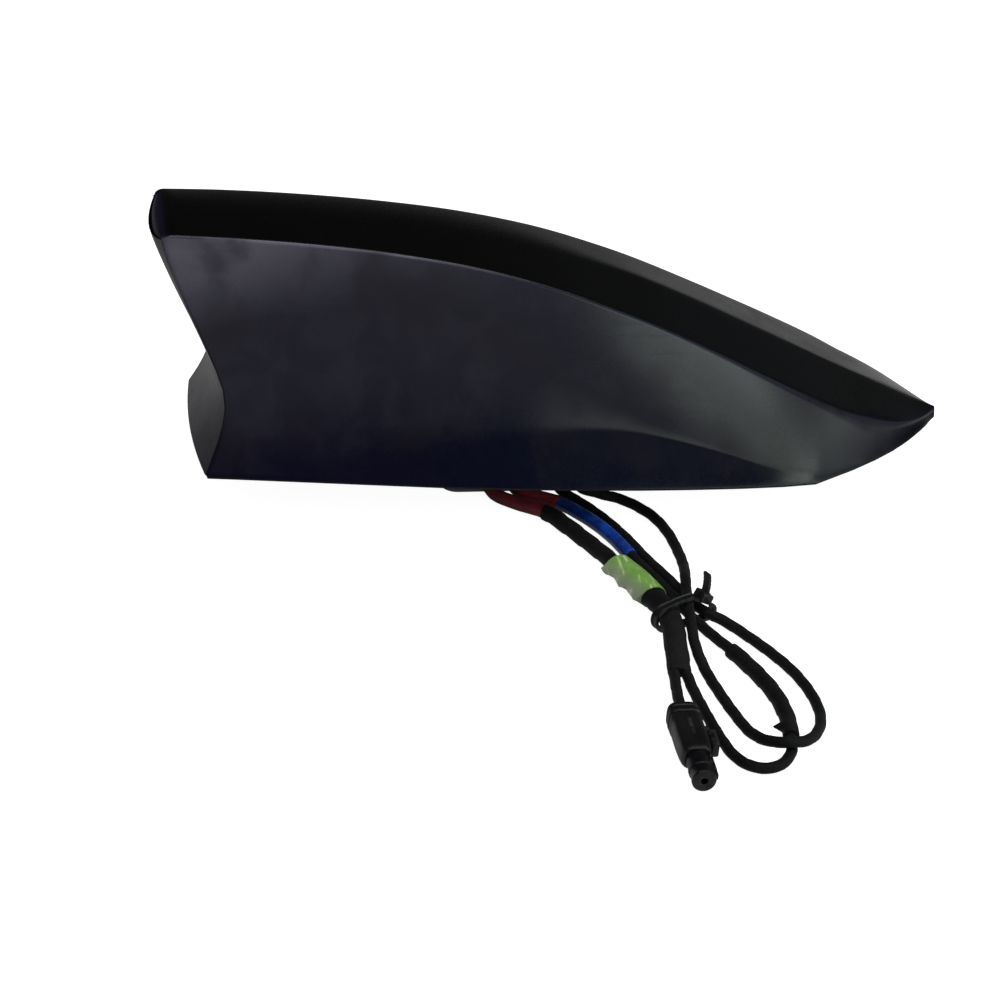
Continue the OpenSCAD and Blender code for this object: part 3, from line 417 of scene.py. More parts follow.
def finish(name, colour, other, roughness, metal=0.0, fineness=4000.0, depth=0.1, patches=60.0,
           mottle=900.0, spread=0.06, dust=0.0, rubbed=0.0, rubbed_and_glint_colour=(120, 120, 118), group=GRAIN,
           coat=0.0, sheen=0.0, gloss=0.5):
    """Two colours in patches, grain and uneven roughness, with dust and wear if asked."""
    material = bpy.data.materials.new(name)
    material.use_nodes = True
    tree = material.node_tree
    shader = tree.nodes["Principled BSDF"]
    shader.inputs["Metallic"].default_value = metal
    shader.inputs["Coat Weight"].default_value = coat
    shader.inputs["Sheen Weight"].default_value = sheen
    shader.inputs["Sheen Roughness"].default_value = 0.4
    shader.inputs["Specular IOR Level"].default_value = gloss
    tint = place_group(tree, UNEVEN, Colour=linear(*colour), Other=linear(*other), Patches=patches,
                       Mottle=mottle)
    colour_out = tint.outputs["Colour"]
    if group is FLEECE:
        height = place_group(tree, FLEECE, Fineness=fineness)
        # painted glints: pale flecks where the fibres would catch the light
        fleck = times(tree, height.outputs["Flecks"], 0.35)
        colour_out = tinted(tree, colour_out, fleck, rubbed_and_glint_colour)
    else:
        height = place_group(tree, GRAIN, Fineness=fineness)
    if dust:
        mask = place_group(tree, DUST, Amount=dust).outputs["Mask"]
        colour_out = tinted(tree, colour_out, mask, DUST_COLOUR)
    if rubbed:
        mask = place_group(tree, RUBBED, Amount=rubbed).outputs["Mask"]
        colour_out = tinted(tree, colour_out, mask, rubbed_and_glint_colour)
    tree.links.new(colour_out, shader.inputs["Base Color"])
    rough = plus(tree, times(tree, tint.outputs["Mask"], spread), roughness - spread / 2)
    tree.links.new(rough, shader.inputs["Roughness"])
    bump = tree.nodes.new("ShaderNodeBump")
    bump.inputs["Strength"].default_value = 1.0
    bump.inputs["Distance"].default_value = depth * MM
    tree.links.new(height.outputs["Height"], bump.inputs["Height"])
    tree.links.new(bump.outputs["Normal"], shader.inputs["Normal"])
    return material


# %% [markdown]
# ## The leads
#
# Three coaxial leads leave the aerial through a slot on its near side, lie on the table and are
# tied together where they cross. Each is wound with black fleece tape, so its radius steps up a
# little with every turn. The routes are the ones the imported model uses. The leads are drawn last,
# after the pieces on them.

# %% Routes of the leads
def route(*points):
    return [Vector(p) for p in points]


LEAD_RADIUS = 1.4
FRONT_ROUTE = route((-9, -13, -9.2), (-7, -18, -10.1), (-2, -22.5, -10.2), (4, -27.5, -9.8),
                    (8, -34, -9.8), (12, -42, -9.8), (15, -49, -9.5), (17, -54.5, -9.2),
                    (20, -62, -9), (22.6, -71, -8.7), (24.6, -80.5, -8.2), (24.3, -88, -8.9),
                    (23.4, -95, -9.8), (22.6, -102, -10.3), (21.4, -112, -9.6),
                    (20.4, -121.8, -8.4))
BLUE_ROUTE = route((-3, -13, -9.2), (-0.5, -17, -10), (4, -19.5, -10.2), (8.5, -22.5, -10.2),
                   (12.5, -27.5, -10.2), (16.5, -34, -10.2), (19.5, -41, -10.2), (22, -49, -10.2),
                   (25.5, -58, -10.4), (28.5, -67.5, -10.2), (30.9, -77.5, -9.5),
                   (34.5, -85, -10.2), (38.2, -93.7, -9.9), (41.2, -101.2, -9.9),
                   (43.7, -109, -9.9), (45, -116, -9.9), (45.3, -124, -9.9), (44.5, -131, -9.9),
                   (43.2, -137, -10.6), (39, -141.8, -10.6), (33.8, -141.8, -10.6),
                   (30.2, -137.5, -10.6), (28.5, -131, -10.6), (27.3, -123, -10.6),
                   (26.4, -115, -10.6), (25.8, -109, -10.5), (25.5, -102.9, -10.3))
LOOP_ROUTE = route((8, -13, -9.2), (10.5, -17, -10.4), (15, -23.5, -10.6), (19.2, -31.5, -10.6),
                   (22.8, -40.5, -10.6), (25.6, -49.5, -10.6), (29, -58.5, -10.6),
                   (31.8, -67, -10.4), (34.2, -75.4, -9.5), (39.5, -80.5, -10.2), (44, -87, -10.6),
                   (48, -94.5, -10.6), (51.5, -103, -10.6), (53.5, -112, -10.6),
                   (53.8, -120.5, -10.6), (52, -127.5, -10.2), (48, -134, -8.8), (43, -136.6, -7.6),
                   (38.4, -134, -8.8), (35.5, -128, -10.2), (33.5, -119.5, -10.6),
                   (31.8, -110.5, -10.6), (30.4, -101.5, -10.4), (29.6, -92.5, -9.2),
                   (29.8, -84.5, -7.2), (30.4, -77.5, -6.4), (31.3, -71, -6.9), (32.6, -63.5, -7.6),
                   (34, -55, -9.6), (34.3, -46, -10.6), (33.4, -37, -10.6), (30.8, -28.5, -10.6),
                   (25.5, -21.3, -10.6), (19.5, -18.2, -10.2), (15.2, -16.4, -9.6), (14, -13, -9.2))
OUT_OF_SLOT, INTO_SLOT = Vector((0, -1, 0)), Vector((0, 1, 0))
WRAP_END_WAY = Vector((-1, -7, 0)).normalized()
PLUG_WAY = Vector((0, -1, 0))
print("points of the routes:", [len(r) for r in (FRONT_ROUTE, BLUE_ROUTE, LOOP_ROUTE)])

# %% A taped lead
TAPE_PITCH = 5.5
TAPE_STEP = 0.12
OVERLAP = 0.15              # share of a turn in which the tape steps down again


def taped(radius, step=TAPE_STEP, pitch=TAPE_PITCH):
    """Radius that climbs by one tape thickness over each turn and drops at the overlap."""
    def shape(s, turn):
        climb = (s / pitch + turn / (2 * math.pi)) % 1
        return polar(radius - step * (1 - min(climb / (1 - OVERLAP), (1 - climb) / OVERLAP)), turn)
    return shape


lead_finish = finish("fleece taped lead", (11, 12, 13), (5, 6, 7), 0.66, fineness=2400.0, depth=0.09,
                     group=FLEECE, rubbed_and_glint_colour=(44, 44, 46), sheen=0.03, dust=0.04, gloss=0.3)


def draw_lead(name, points, last):
    line = smooth_line(points, 0.8)
    piece = sweep(name + "_taped", line, taped(LEAD_RADIUS), lead_finish, sides=14,
                  first=OUT_OF_SLOT, last=last)
    dress(piece, name)


print("a lead's radius:", LEAD_RADIUS, "mm, less", TAPE_STEP, "where a turn of tape starts")

# %% [markdown]
# ## The cover
#
# The fin is one smooth moulding: a nearly flat deck with a low ridge, steep sides, a lower crease
# that fades to the rear, and a tail edge that curves like an S. A subdivision surface would round
# the creases too much, so the skin is computed. Short tables say how the width, the height and the
# crown of a section change from nose to tail, a cubic curve runs through each table, and the rings
# of points between them become the mesh.

# %% Tables of the cover
# Each row is (distance behind the nose, value). The two tables of the tail go by height instead.
NOSE_X = 110
SHOULDER = 38.6
NOSE_OUTLINE = ((0, 1.2), (1.2, 2.6), (3.6, 6), (7.4, 10.6), (11, 14.5), (16, 19.1), (21, 22.9),
                (30, 29), (38.6, 34))
SKIRT_OUTLINE = ((38.6, 34), (47, 35), (58, 35.5), (84, 35.5), (104, 34.7), (127, 33.1),
                 (150, 30.4), (170, 28), (184, 26.3), (205, 24))
LOW_CREASE_WIDTH = ((0, 1), (1.2, 2.4), (3.6, 5.8), (7.4, 10.4), (11, 14.3), (16, 18.9), (21, 22.7),
                    (26, 25.8), (31, 28.9), (35, 31), (38.6, 32.5), (42, 33.1), (46, 33),
                    (52, 31.8), (58, 30.2), (64, 28.6), (76, 26.3), (88, 24.4), (113, 22.8),
                    (145, 21.9), (170, 20.8), (205, 19.2))
LOW_CREASE_HEIGHT = ((0, 1.9), (31, 1.9), (35, 2.2), (38.6, 2.8), (42, 3.4), (46, 4.1), (52, 5.1),
                     (58, 6.5), (64, 7.9), (76, 10.7), (88, 13.2), (113, 15.6), (145, 15.2),
                     (170, 14.2), (205, 13))
DECK_WIDTH = ((0, 0.8), (6, 8.4), (13, 15.2), (20, 19.2), (28, 21.6), (42, 22), (53, 21.4),
              (64, 20.6), (79, 19.7), (90, 19.1), (105, 17.9), (125, 16.3), (145, 15.2),
              (165, 14.5), (190, 13.8), (205, 13.2))
DECK_HEIGHT = ((0, 2.8), (6, 4.6), (13, 7.2), (20, 10), (28, 13.4), (42, 20.1), (54, 26),
               (64, 30.9), (80, 38.3), (90, 42.3), (105, 47.7), (125, 53), (145, 56.5), (165, 58.9),
               (185, 60.5), (205, 61.4))
DECK_CROWN = ((0, 0.8), (13, 2.2), (30, 3.2), (54, 3.4), (80, 3.2), (100, 2.6), (123, 2),
              (145, 1.7), (205, 1.6))
TAIL_PROFILE = ((0, 191.8), (9, 188.3), (14, 187), (19, 186.7), (25, 188.5), (34, 192.3),
                (47, 198.0), (56, 201.2), (63, 202.6))
DECK_FOLD = ((0, 0.3), (14, 0.08), (60, 0.06), (88, 0.08), (105, 0.25), (125, 0.7), (150, 1.3),
             (205, 1.5))
LOW_CREASE_BLEND = ((0, 0.1), (30, 0.5), (80, 1.2), (115, 6), (150, 11), (205, 12))
CREASE_BLEND = ((0, 1.2), (12, 4), (20, 4.5), (28, 2.5), (40, 1.5), (60, 1), (205, 0.9))
TAIL_BULGE = ((0, 1.9), (30, 1.9), (50, 2.8), (63, 3.8))
COVER_WALL = 2.2
CREASE_RADIUS = 1.2
TAIL_EDGE_RADIUS = 1.3
TAIL_TOP_RADIUS = 6.5
COVER_BASE = 1.0
LIP_HEIGHT, LIP_INSET = 0.5, 0.35
print("tables run from the nose to", DECK_WIDTH[-1][0], "mm behind it")


# %% Smooth curve through a table
def curve(table, x):
    last = len(table) - 1
    i = next((i for i in range(last - 1) if x < table[i + 1][0]), last - 1)

    def rise(n):
        return (table[n + 1][1] - table[n][1]) / (table[n + 1][0] - table[n][0])

    def slope(n):
        return rise(0) if n == 0 else rise(n - 1) if n == last else (rise(n - 1) + rise(n)) / 2

    h = table[i + 1][0] - table[i][0]
    s = (x - table[i][0]) / h
    a, b, d = slope(i) * h, slope(i + 1) * h, table[i + 1][1] - table[i][1]
    return table[i][1] + s * (a + s * ((3 * d - 2 * a - b) + s * (a + b - 2 * d)))


def bend(a, b, c, t):
    return between(between(a, b, t), between(b, c, t), t)


# %% One section of the cover
FLANK, LOW_BLEND, SIDE, CREASE, DECK = 4, 8, 12, 10, 10
CREASE_ROW = FLANK + LOW_BLEND + SIDE + 1 + CREASE // 2
TAIL_CORNER = FLANK + LOW_BLEND + SIDE
RIDGE_ROW = FLANK + LOW_BLEND + SIDE + CREASE + DECK + 1


def edge_width(behind):
    return curve(NOSE_OUTLINE if behind < SHOULDER else SKIRT_OUTLINE, behind)


def section(behind, wall=0.0):
    """Half a section as (half width, height), from the foot up to the ridge."""
    foot = Vector((edge_width(behind) - 1.25 * wall, COVER_BASE))
    lip = foot + Vector((-LIP_INSET, LIP_HEIGHT))
    low = Vector((min(curve(LOW_CREASE_WIDTH, behind) - wall, lip.x - 0.1),
                  max(curve(LOW_CREASE_HEIGHT, behind), lip.y + 0.4)))
    edge = Vector((max(curve(DECK_WIDTH, behind) - wall, 0.5),
                   max(curve(DECK_HEIGHT, behind) - 0.9 * wall, low.y + 0.4)))
    crown = curve(DECK_CROWN, behind)
    to_foot, to_edge = (lip - low).normalized(), (edge - low).normalized()
    flank, side = (lip - low).length, (edge - low).length
    soft, fold = curve(LOW_CREASE_BLEND, behind), curve(DECK_FOLD, behind)
    low_in, low_out = low + to_foot * min(soft, 0.8 * flank), low + to_edge * min(2 * soft, 0.6 * side)
    turn = min(CREASE_RADIUS * curve(CREASE_BLEND, behind), 0.45 * side, 0.45 * edge.x)

    def deck(y):
        drop = (math.hypot(y / edge.x, fold) - fold) / (math.hypot(1, fold) - fold)
        return Vector((y, edge.y + crown * (1 - drop)))

    edge_in, edge_out = edge - to_edge * turn, deck(edge.x - turn)
    middle = (low_out + edge_in) / 2 + Vector((0.012, 0.006)) * side
    return ([foot]
            + [between(lip, low_in, i / FLANK) for i in range(FLANK)]
            + [bend(low_in, low, low_out, i / LOW_BLEND) for i in range(LOW_BLEND + 1)]
            + [bend(low_out, middle, edge_in, i / SIDE) for i in range(1, SIDE)]
            + [bend(edge_in, edge, edge_out, i / CREASE) for i in range(CREASE + 1)]
            + [deck(edge_out.x * (1 - i / DECK) ** 1.5) for i in range(1, DECK + 1)])


# %% The tail's edge
STATIONS = (0, 0.5, 1.2, 2.4, 4, 6.5, 9.5, 13, 17, 21.5, 26, 30.5, 34.8, 38.6, 43, 48, 53, 58, 63.5,
            69.5, 76, 83, 90, 97, 104, 111, 118, 125, 132, 139, 146, 153, 160, 167, 174, 180, 185,
            188.5)
LAST_STATION = STATIONS[-1]
TAIL_STEPS = 8


def tail_back(y, z, half):
    return curve(TAIL_PROFILE, z) + curve(TAIL_BULGE, z) * (1 - (y / half) ** 2)


def inward(row_points, j):
    if j == RIDGE_ROW:
        return Vector((0, -1))
    if j == 0:
        return Vector((-1, 0))
    along = (row_points[j + 1] - row_points[j - 1]).normalized()
    return Vector((-along.y, along.x))


def tail_rows(wall):
    """For each row: half width, height, distance behind the nose and radius of the tail's edge."""
    points, rows = section(LAST_STATION, wall), []
    for j, point in enumerate(points):
        over_deck = 1 - (point.x / points[TAIL_CORNER].x) ** 2 if j > TAIL_CORNER else 0
        radius = max(between(TAIL_EDGE_RADIUS, TAIL_TOP_RADIUS, over_deck) - wall, 0.4)
        end = point + inward(points, j) * radius
        back = tail_back(end.x, end.y, points[min(j, CREASE_ROW)].x) - 1.1 * wall
        rows.append((max(end.x, 0), end.y, back, radius))
    return rows


# %% Rings from nose to tail
INNER_START = 9             # the inner skin starts this far behind the nose
LEAN_START = 90             # behind this place the rings lean more and more like the tail


def ring_sections(wall, places):
    """Half rings of [x, half width, height], from the nose to the tail's edge."""
    rows, rings = tail_rows(wall), []
    first = INNER_START if wall else 0
    for place in places:
        b0 = first + place * (LAST_STATION - first) / LAST_STATION
        pull = (max(b0 - LEAN_START, 0) / (LAST_STATION - LEAN_START)) ** 2
        cache, ring = {}, []
        for j in range(RIDGE_ROW + 1):
            b = b0 + pull * (rows[j][2] - rows[j][3] - LAST_STATION)
            points = cache.setdefault(round(b, 6), section(b, wall))
            ring.append((NOSE_X - b, points[j].x, points[j].y))
        rings.append(ring)
    for k in range(1, TAIL_STEPS + 1):
        angle, ring = math.pi / 2 * k / TAIL_STEPS, []
        for j in range(RIDGE_ROW + 1):
            radius, stop = rows[j][3], rows[j][2] - rows[j][3]
            points = section(stop, wall)
            end = points[j] + inward(points, j) * radius * (1 - math.cos(angle))
            ring.append((NOSE_X - stop - radius * math.sin(angle), max(end.x, 0), end.y))
        rings.append(ring)
    return rings


def finer(places, parts):
    split = [between(a, b, i / parts) for a, b in zip(places, places[1:]) for i in range(parts)]
    return split + [places[-1]]


RING = 2 * RIDGE_ROW + 1
TAIL_COLUMNS = 2 * (RIDGE_ROW - CREASE_ROW)


def skin(wall, places):
    """Vertices and quads of one skin: the rings, then the tail face between the last ring's sides."""
    half = ring_sections(wall, places)
    count = len(half)
    vertices = [Vector((p[0], p[1] * side, p[2]))
                for ring in half
                for p, side in [(p, -1) for p in ring] + [(p, 1) for p in ring[-2::-1]]]
    last = half[-1]
    top = []
    for c in range(TAIL_COLUMNS + 1):
        p = last[CREASE_ROW + min(c, TAIL_COLUMNS - c)]
        top.append((-p[1] if c * 2 <= TAIL_COLUMNS else p[1], p[2]))
    end = section(LAST_STATION, wall)
    for j in range(CREASE_ROW):
        for c in range(1, TAIL_COLUMNS):
            y = top[c][0] / -top[0][0] * last[j][1]
            z = last[j][2] + (top[c][1] - top[0][1]) * (j / CREASE_ROW) ** 2
            vertices.append(Vector((NOSE_X - tail_back(y, z, end[j].x) + 1.1 * wall, y, z)))

    def tail(j, c):
        if c == 0:
            return (count - 1) * RING + j
        if c == TAIL_COLUMNS:
            return count * RING - 1 - j
        if j == CREASE_ROW:
            return (count - 1) * RING + CREASE_ROW + c
        return count * RING + j * (TAIL_COLUMNS - 1) + c - 1

    faces = [(i * RING + r, i * RING + r + 1, (i + 1) * RING + r + 1, (i + 1) * RING + r)
             for i in range(count - 1) for r in range(RING - 1)]
    faces += [(tail(j, c), tail(j + 1, c), tail(j + 1, c + 1), tail(j, c + 1))
              for j in range(CREASE_ROW) for c in range(TAIL_COLUMNS)]
    faces += [(0, r + 1, r) for r in range(1, RING - 1)]
    foot = ([i * RING for i in range(count)] + [tail(0, c) for c in range(1, TAIL_COLUMNS)]
            + [(i + 1) * RING - 1 for i in range(count - 1, -1, -1)])
    return vertices, faces, foot


# %% Build the cover
SHEEN_START, SHEEN_REACH = 35, 50     # millimetres from the middle towards the tail


def painted_sheen(x, row):
    """0 to 1: painted sheen, a lighter film under the upper crease that stands in for reflected light,
    strongest near the tail, with a painted highlight along the crease.
    """
    if row > CREASE_ROW + 1:
        return 0.0
    tail = share(-x - SHEEN_START, SHEEN_REACH)
    upward = share(row - 18 + 6 * tail, 9 + 6 * tail) ** (1.3 - 0.4 * tail)
    # painted highlight: the rows at the upper crease get a stronger film, as a line of light
    painted_crease_highlight = 3.4 - 2.8 * tail if row >= CREASE_ROW - 2 else 1
    return min(upward * painted_crease_highlight * (0.03 + 0.25 * share(-x, 30) + 0.72 * tail), 1)


def build_cover(material):
    places = finer(STATIONS, 3)
    outer, outer_faces, outer_foot = skin(0.0, places)
    inner, inner_faces, inner_foot = skin(COVER_WALL, places)
    size = len(outer)
    faces = outer_faces + [tuple(size + v for v in f[::-1]) for f in inner_faces]
    for n, a in enumerate(outer_foot):
        m = (n + 1) % len(outer_foot)
        faces.append((a, outer_foot[m], size + inner_foot[m], size + inner_foot[n]))
    piece = add_mesh("cover", outer + inner, faces, material, sharp=35)
    # the painted sheen's strength on each point of the outer skin
    painted_sheen_values = piece.data.attributes.new("painted_sheen", "FLOAT", "POINT")
    for n in range((len(places) + TAIL_STEPS) * RING):
        row = n % RING
        painted_sheen_values.data[n].value = painted_sheen(outer[n].x, min(row, RING - 1 - row))
    dress(piece, "fin_cover")
    print("cover:", len(piece.data.polygons), "faces")


# %% [markdown]
# The cover's plastic is nearly black and blue on its sides. Its colour also holds painted light: a
# violet tint at the rear and a green one at the nose are painted reflections, faces that look up are
# darkened to a neutral black as painted shade, and a painted sheen lightens the side under the upper
# crease, most of all near the tail, with a painted highlight along the crease. It is a used part: the
# colour is blotchy, faint scratches run along one area, and there is a dark smudge near the nose.
# Each of these is a mask mixed into the colour or the roughness. The sheen follows the rows of the
# mesh, so its strength is kept on the mesh's points.

# %% Finish of the cover
SIDE_BLUE, DEEP_BLUE = (4, 8, 29), (3, 6, 24)
# painted reflections: tints for the rear and the nose that stand in for what the sides mirror there
REAR_REFLECTION_VIOLET, NOSE_REFLECTION_GREEN = (11, 8, 32), (5, 10, 15)
# the first colour is the painted sheen's grey; the second tints the blotches
PAINTED_SHEEN_GREY, BLOTCH_VIOLET = (100, 98, 110), (12, 7, 25)
# the first colour is painted shade for faces that look up; the second is a dark smudge
PAINTED_DECK_SHADE, SMUDGE_BLACK = (5, 5, 6), (2, 2, 3)
SMUDGE = Vector((86.4, -12, 13)) * MM
SCRATCHED = Vector((24, -22, 34)) * MM
SCRATCH_SLOPE = math.radians(24)


def near_place(tree, place, radius):
    """1 near a place and 0 beyond the radius."""
    node = tree.nodes.new("ShaderNodeVectorMath")
    node.operation = "DISTANCE"
    tree.links.new(object_place(tree), node.inputs[0])
    node.inputs[1].default_value = place
    return ramp(tree, node.outputs["Value"], radius, radius * 0.3)


def cover_plastic():
    material = finish("satin cover plastic", SIDE_BLUE, DEEP_BLUE, 0.26, fineness=3600.0, depth=0.008,
                      patches=42.0, mottle=800.0, spread=0.08)
    tree, shader, colour = opened(material)
    x = parts_of(tree, object_place(tree))["X"]
    upward = parts_of(tree, surface_normal(tree))["Z"]
    # painted reflection tints, violet towards the tail and green towards the nose
    colour = tinted(tree, colour, times(tree, ramp(tree, x, 0.01, -0.06), 0.75), REAR_REFLECTION_VIOLET)
    colour = tinted(tree, colour, times(tree, ramp(tree, x, 0.03, 0.08), 0.7), NOSE_REFLECTION_GREEN)
    # painted sheen: a pale film under the upper crease and a painted highlight along it, kept on the
    # mesh's points
    painted_sheen_node = tree.nodes.new("ShaderNodeAttribute")
    painted_sheen_node.attribute_name = "painted_sheen"
    patchy = plus(tree, times(tree, noise_node(tree, 30.0, detail=5.0), 0.8), 0.6)
    mottle = ramp(tree, noise_node(tree, 95.0, detail=7.0, distortion=0.7), 0.4, 0.68)
    mottle = times(tree, mottle, ramp(tree, upward, 0.55, 0.35), 0.045)
    sheen_and_mottle = math_node(tree, "ADD", mottle, times(tree, painted_sheen_node.outputs["Fac"], patchy), clamp=True)
    # the painted sheen and a faint pale mottle on the sides, mixed towards grey
    colour = tinted(tree, colour, sheen_and_mottle, PAINTED_SHEEN_GREY)
    blotch = ramp(tree, noise_node(tree, 55.0, detail=5.0, distortion=0.6), 0.45, 0.72)
    colour = tinted(tree, colour, times(tree, blotch, 0.6), BLOTCH_VIOLET)
    # painted shade: faces that look up are darkened to a neutral black
    colour = tinted(tree, colour, ramp(tree, upward, 0.75, 0.92), PAINTED_DECK_SHADE)
    colour = tinted(tree, colour, times(tree, near_place(tree, SMUDGE, 3.2 * MM), 0.9), SMUDGE_BLACK)
    tree.links.new(colour, shader.inputs["Base Color"])
    along = stretched_place(tree, (0.12, 1, 1.6), (0, SCRATCH_SLOPE, 0))
    lines = ramp(tree, noise_node(tree, 420.0, detail=4.0, place=along), 0.56, 0.68)
    scratch = times(tree, lines, near_place(tree, SCRATCHED, 22 * MM))
    rough = shader.inputs["Roughness"].links[0].from_socket
    rough = plus(tree, rough, times(tree, scratch, 0.05), times(tree, blotch, 0.05))
    tree.links.new(rough, shader.inputs["Roughness"])
    return material


build_cover(cover_plastic())

# %% [markdown]
# ## Sleeves, tape and the label
#
# The pieces on the leads are short sweeps along the same routes. A heat-shrunk sleeve is uneven and
# has a rounded cut end, tape climbs in turns, and the paper label is a flattened ring with sharp
# folds and a flag on the left where its two ends are stuck together.

# %% Pieces of a route
def part_line(points, first, last, step=0.6):
    """The smooth line between two numbered points of a route."""
    line = smooth_line(points, step)
    return line[line.index(points[first]):line.index(points[last]) + 1]


def end_ways(points, first, last):
    """The directions of the whole route at the ends of a part of it."""
    start = OUT_OF_SLOT if first == 0 else (points[first + 1] - points[first - 1]).normalized()
    end = (points[last + 1] - points[last - 1]).normalized()
    return start, end


def shrunk(radius, length, seed):
    """A shrunk tube: a little uneven, with rounded cut ends."""
    def shape(s, turn):
        end = min(s, length - s)
        uneven = 0.05 * noise.noise(Vector((s * 0.35, turn * 0.8, seed))) - 0.05
        rounded = 0.07 * math.exp(-((end - 0.8) / 0.5) ** 2) - 0.08 * math.exp(-end / 0.25)
        return polar(radius + rounded + uneven, turn)
    return shape


def stub_on(shape, at, angle, height):
    """The same shape with a short stub of tape standing out at one place."""
    def bumped(s, turn):
        x, y = shape(s, turn)
        off = math.exp(-((s - at) / 0.9) ** 2 - ((turn - angle) / 0.42) ** 2) * height
        return x + off * math.cos(angle), y + off * math.sin(angle)
    return bumped


maroon_finish = finish("maroon sleeve", (122, 32, 41), (86, 19, 28), 0.38, fineness=2500.0,
                       depth=0.02, patches=220.0, mottle=1500.0, spread=0.12, dust=0.15)
blue_finish = finish("blue sleeve", (22, 70, 164), (8, 32, 98), 0.26, fineness=2500.0, depth=0.02,
                     patches=260.0, mottle=1500.0, spread=0.14, dust=0.08, gloss=0.55, coat=0.4)
wrap_finish = finish("splice tape", (12, 12, 13), (6, 6, 7), 0.66, fineness=2300.0, depth=0.06,
                     patches=150.0, group=FLEECE, rubbed_and_glint_colour=(44, 44, 46), sheen=0.03, dust=0.04,
                     gloss=0.35)

# %% Draw the sleeves and the tape
BORE = 1.43


def on_lead(name, node, points, first, last, shape, material, sides=24):
    """Sweep a piece round a lead, between two points of its route."""
    line = part_line(points, first, last)
    start, end = end_ways(points, first, last)
    dress(sweep(name, line, shape, material, sides, start, end, circle(BORE)), node)


for name, node, slot_name, points, first, last, radius, material in (
        ("front_maroon", "front_maroon_sleeve", "maroon_tube", FRONT_ROUTE, 0, 3, 1.8, maroon_finish),
        ("rear_maroon", "rear_maroon_sleeve", "maroon_tube", BLUE_ROUTE, 0, 3, 1.8, maroon_finish),
        ("blue_tube", "blue_sleeve", "blue_tube", BLUE_ROUTE, 3, 7, 1.82, blue_finish)):
    length = travelled(part_line(points, first, last))[-1]
    on_lead(name, node, points, first, last, shrunk(radius, length, len(name)), material)
on_lead("front_tape", "lead_tape", FRONT_ROUTE, 3, 7, taped(2.2, 0.2, 7.0), wrap_finish)
on_lead("inner_loop_tape", "loop_tape", BLUE_ROUTE, 12, 17,
        stub_on(taped(2.05, 0.2, 6.5), 34.5, math.radians(180), 2.0), wrap_finish, 28)
print("sleeves and tape drawn")

# %% The taped splice and its label
WRAP_FIRST = 7
WRAP_PITCH, WRAP_STEP, WRAP_LUMPS, WRAP_BORE = 9.0, 0.22, 0.12, 1.5
# For each point of the route in the splice: sideways shift, half width and half height.
WRAP_SHAPE = ((0.5, 3.2, 2.3), (0.6, 3.4, 2.45), (0.8, 3.2, 2.6), (0.8, 2.9, 2.6), (1.0, 2.9, 2.45),
              (1.25, 2.95, 2.05), (1.45, 3, 1.68))
WRAP_LAST = WRAP_FIRST + len(WRAP_SHAPE) - 1
wrap_line = part_line(FRONT_ROUTE, WRAP_FIRST, WRAP_LAST, 0.7)
wrap_places = [travelled(wrap_line)[wrap_line.index(p)] for p in FRONT_ROUTE[WRAP_FIRST:WRAP_LAST + 1]]


def wrap_size(s):
    """Sideways shift, half width and half height of the splice at a distance along it."""
    return [curve([(place, shape[column]) for place, shape in zip(wrap_places, WRAP_SHAPE)], s)
            for column in range(3)]


def splice(s, turn):
    shift, wide, high = wrap_size(s)
    climb = (s / WRAP_PITCH + turn / (2 * math.pi)) % 1
    lumps = WRAP_LUMPS * noise.noise(Vector((s * 0.3, 2 * math.cos(turn), turn)))
    off = -WRAP_STEP * (1 - min(climb / 0.9, (1 - climb) / 0.1)) + lumps
    off = min(off, 0) - 0.35 * math.exp(-(wrap_places[-1] - s) / 0.5)
    return shift + (wide + off) * math.cos(turn), (high + off) * math.sin(turn)


start, label_end = end_ways(FRONT_ROUTE, WRAP_FIRST, WRAP_FIRST + 2)
splice_piece = sweep("taped_splice", wrap_line, splice, wrap_finish, 40, start, WRAP_END_WAY,
                     circle(WRAP_BORE), 50)
dress(splice_piece, "splice_wrap")

LABEL_LINE = part_line(FRONT_ROUTE, WRAP_FIRST, WRAP_FIRST + 2, 0.5)
LABEL_OUTER, LABEL_INNER, LABEL_FOLD = 0.33, 0.04, 0.18


def label(s, turn):
    """A ring pressed flat, with folds along it and a flag at the left."""
    shift, wide, high = wrap_size(s)
    wander = 0.5 * noise.noise(Vector((s * 0.25, 0, 3)))
    out = LABEL_OUTER - LABEL_FOLD * abs((turn * 1.9 + 0.16 * s + wander) % 1 - 0.5)
    x, y = shift + (wide + out) * math.cos(turn), (high + out) * math.sin(turn)
    left = max(0, -math.cos(turn)) ** 6
    flag = 1.25 + 0.35 * noise.noise(Vector((s * 0.5, 7, 0)))
    return x - flag * left, y * (1 - 0.75 * left) - 0.5 * left * math.sin(s * 0.9)


def label_bore(s, turn):
    shift, wide, high = wrap_size(s)
    return shift + (wide + LABEL_INNER) * math.cos(turn), (high + LABEL_INNER) * math.sin(turn)


FLAG_GREY, WORN_PAPER = (132, 134, 122), (196, 210, 158)


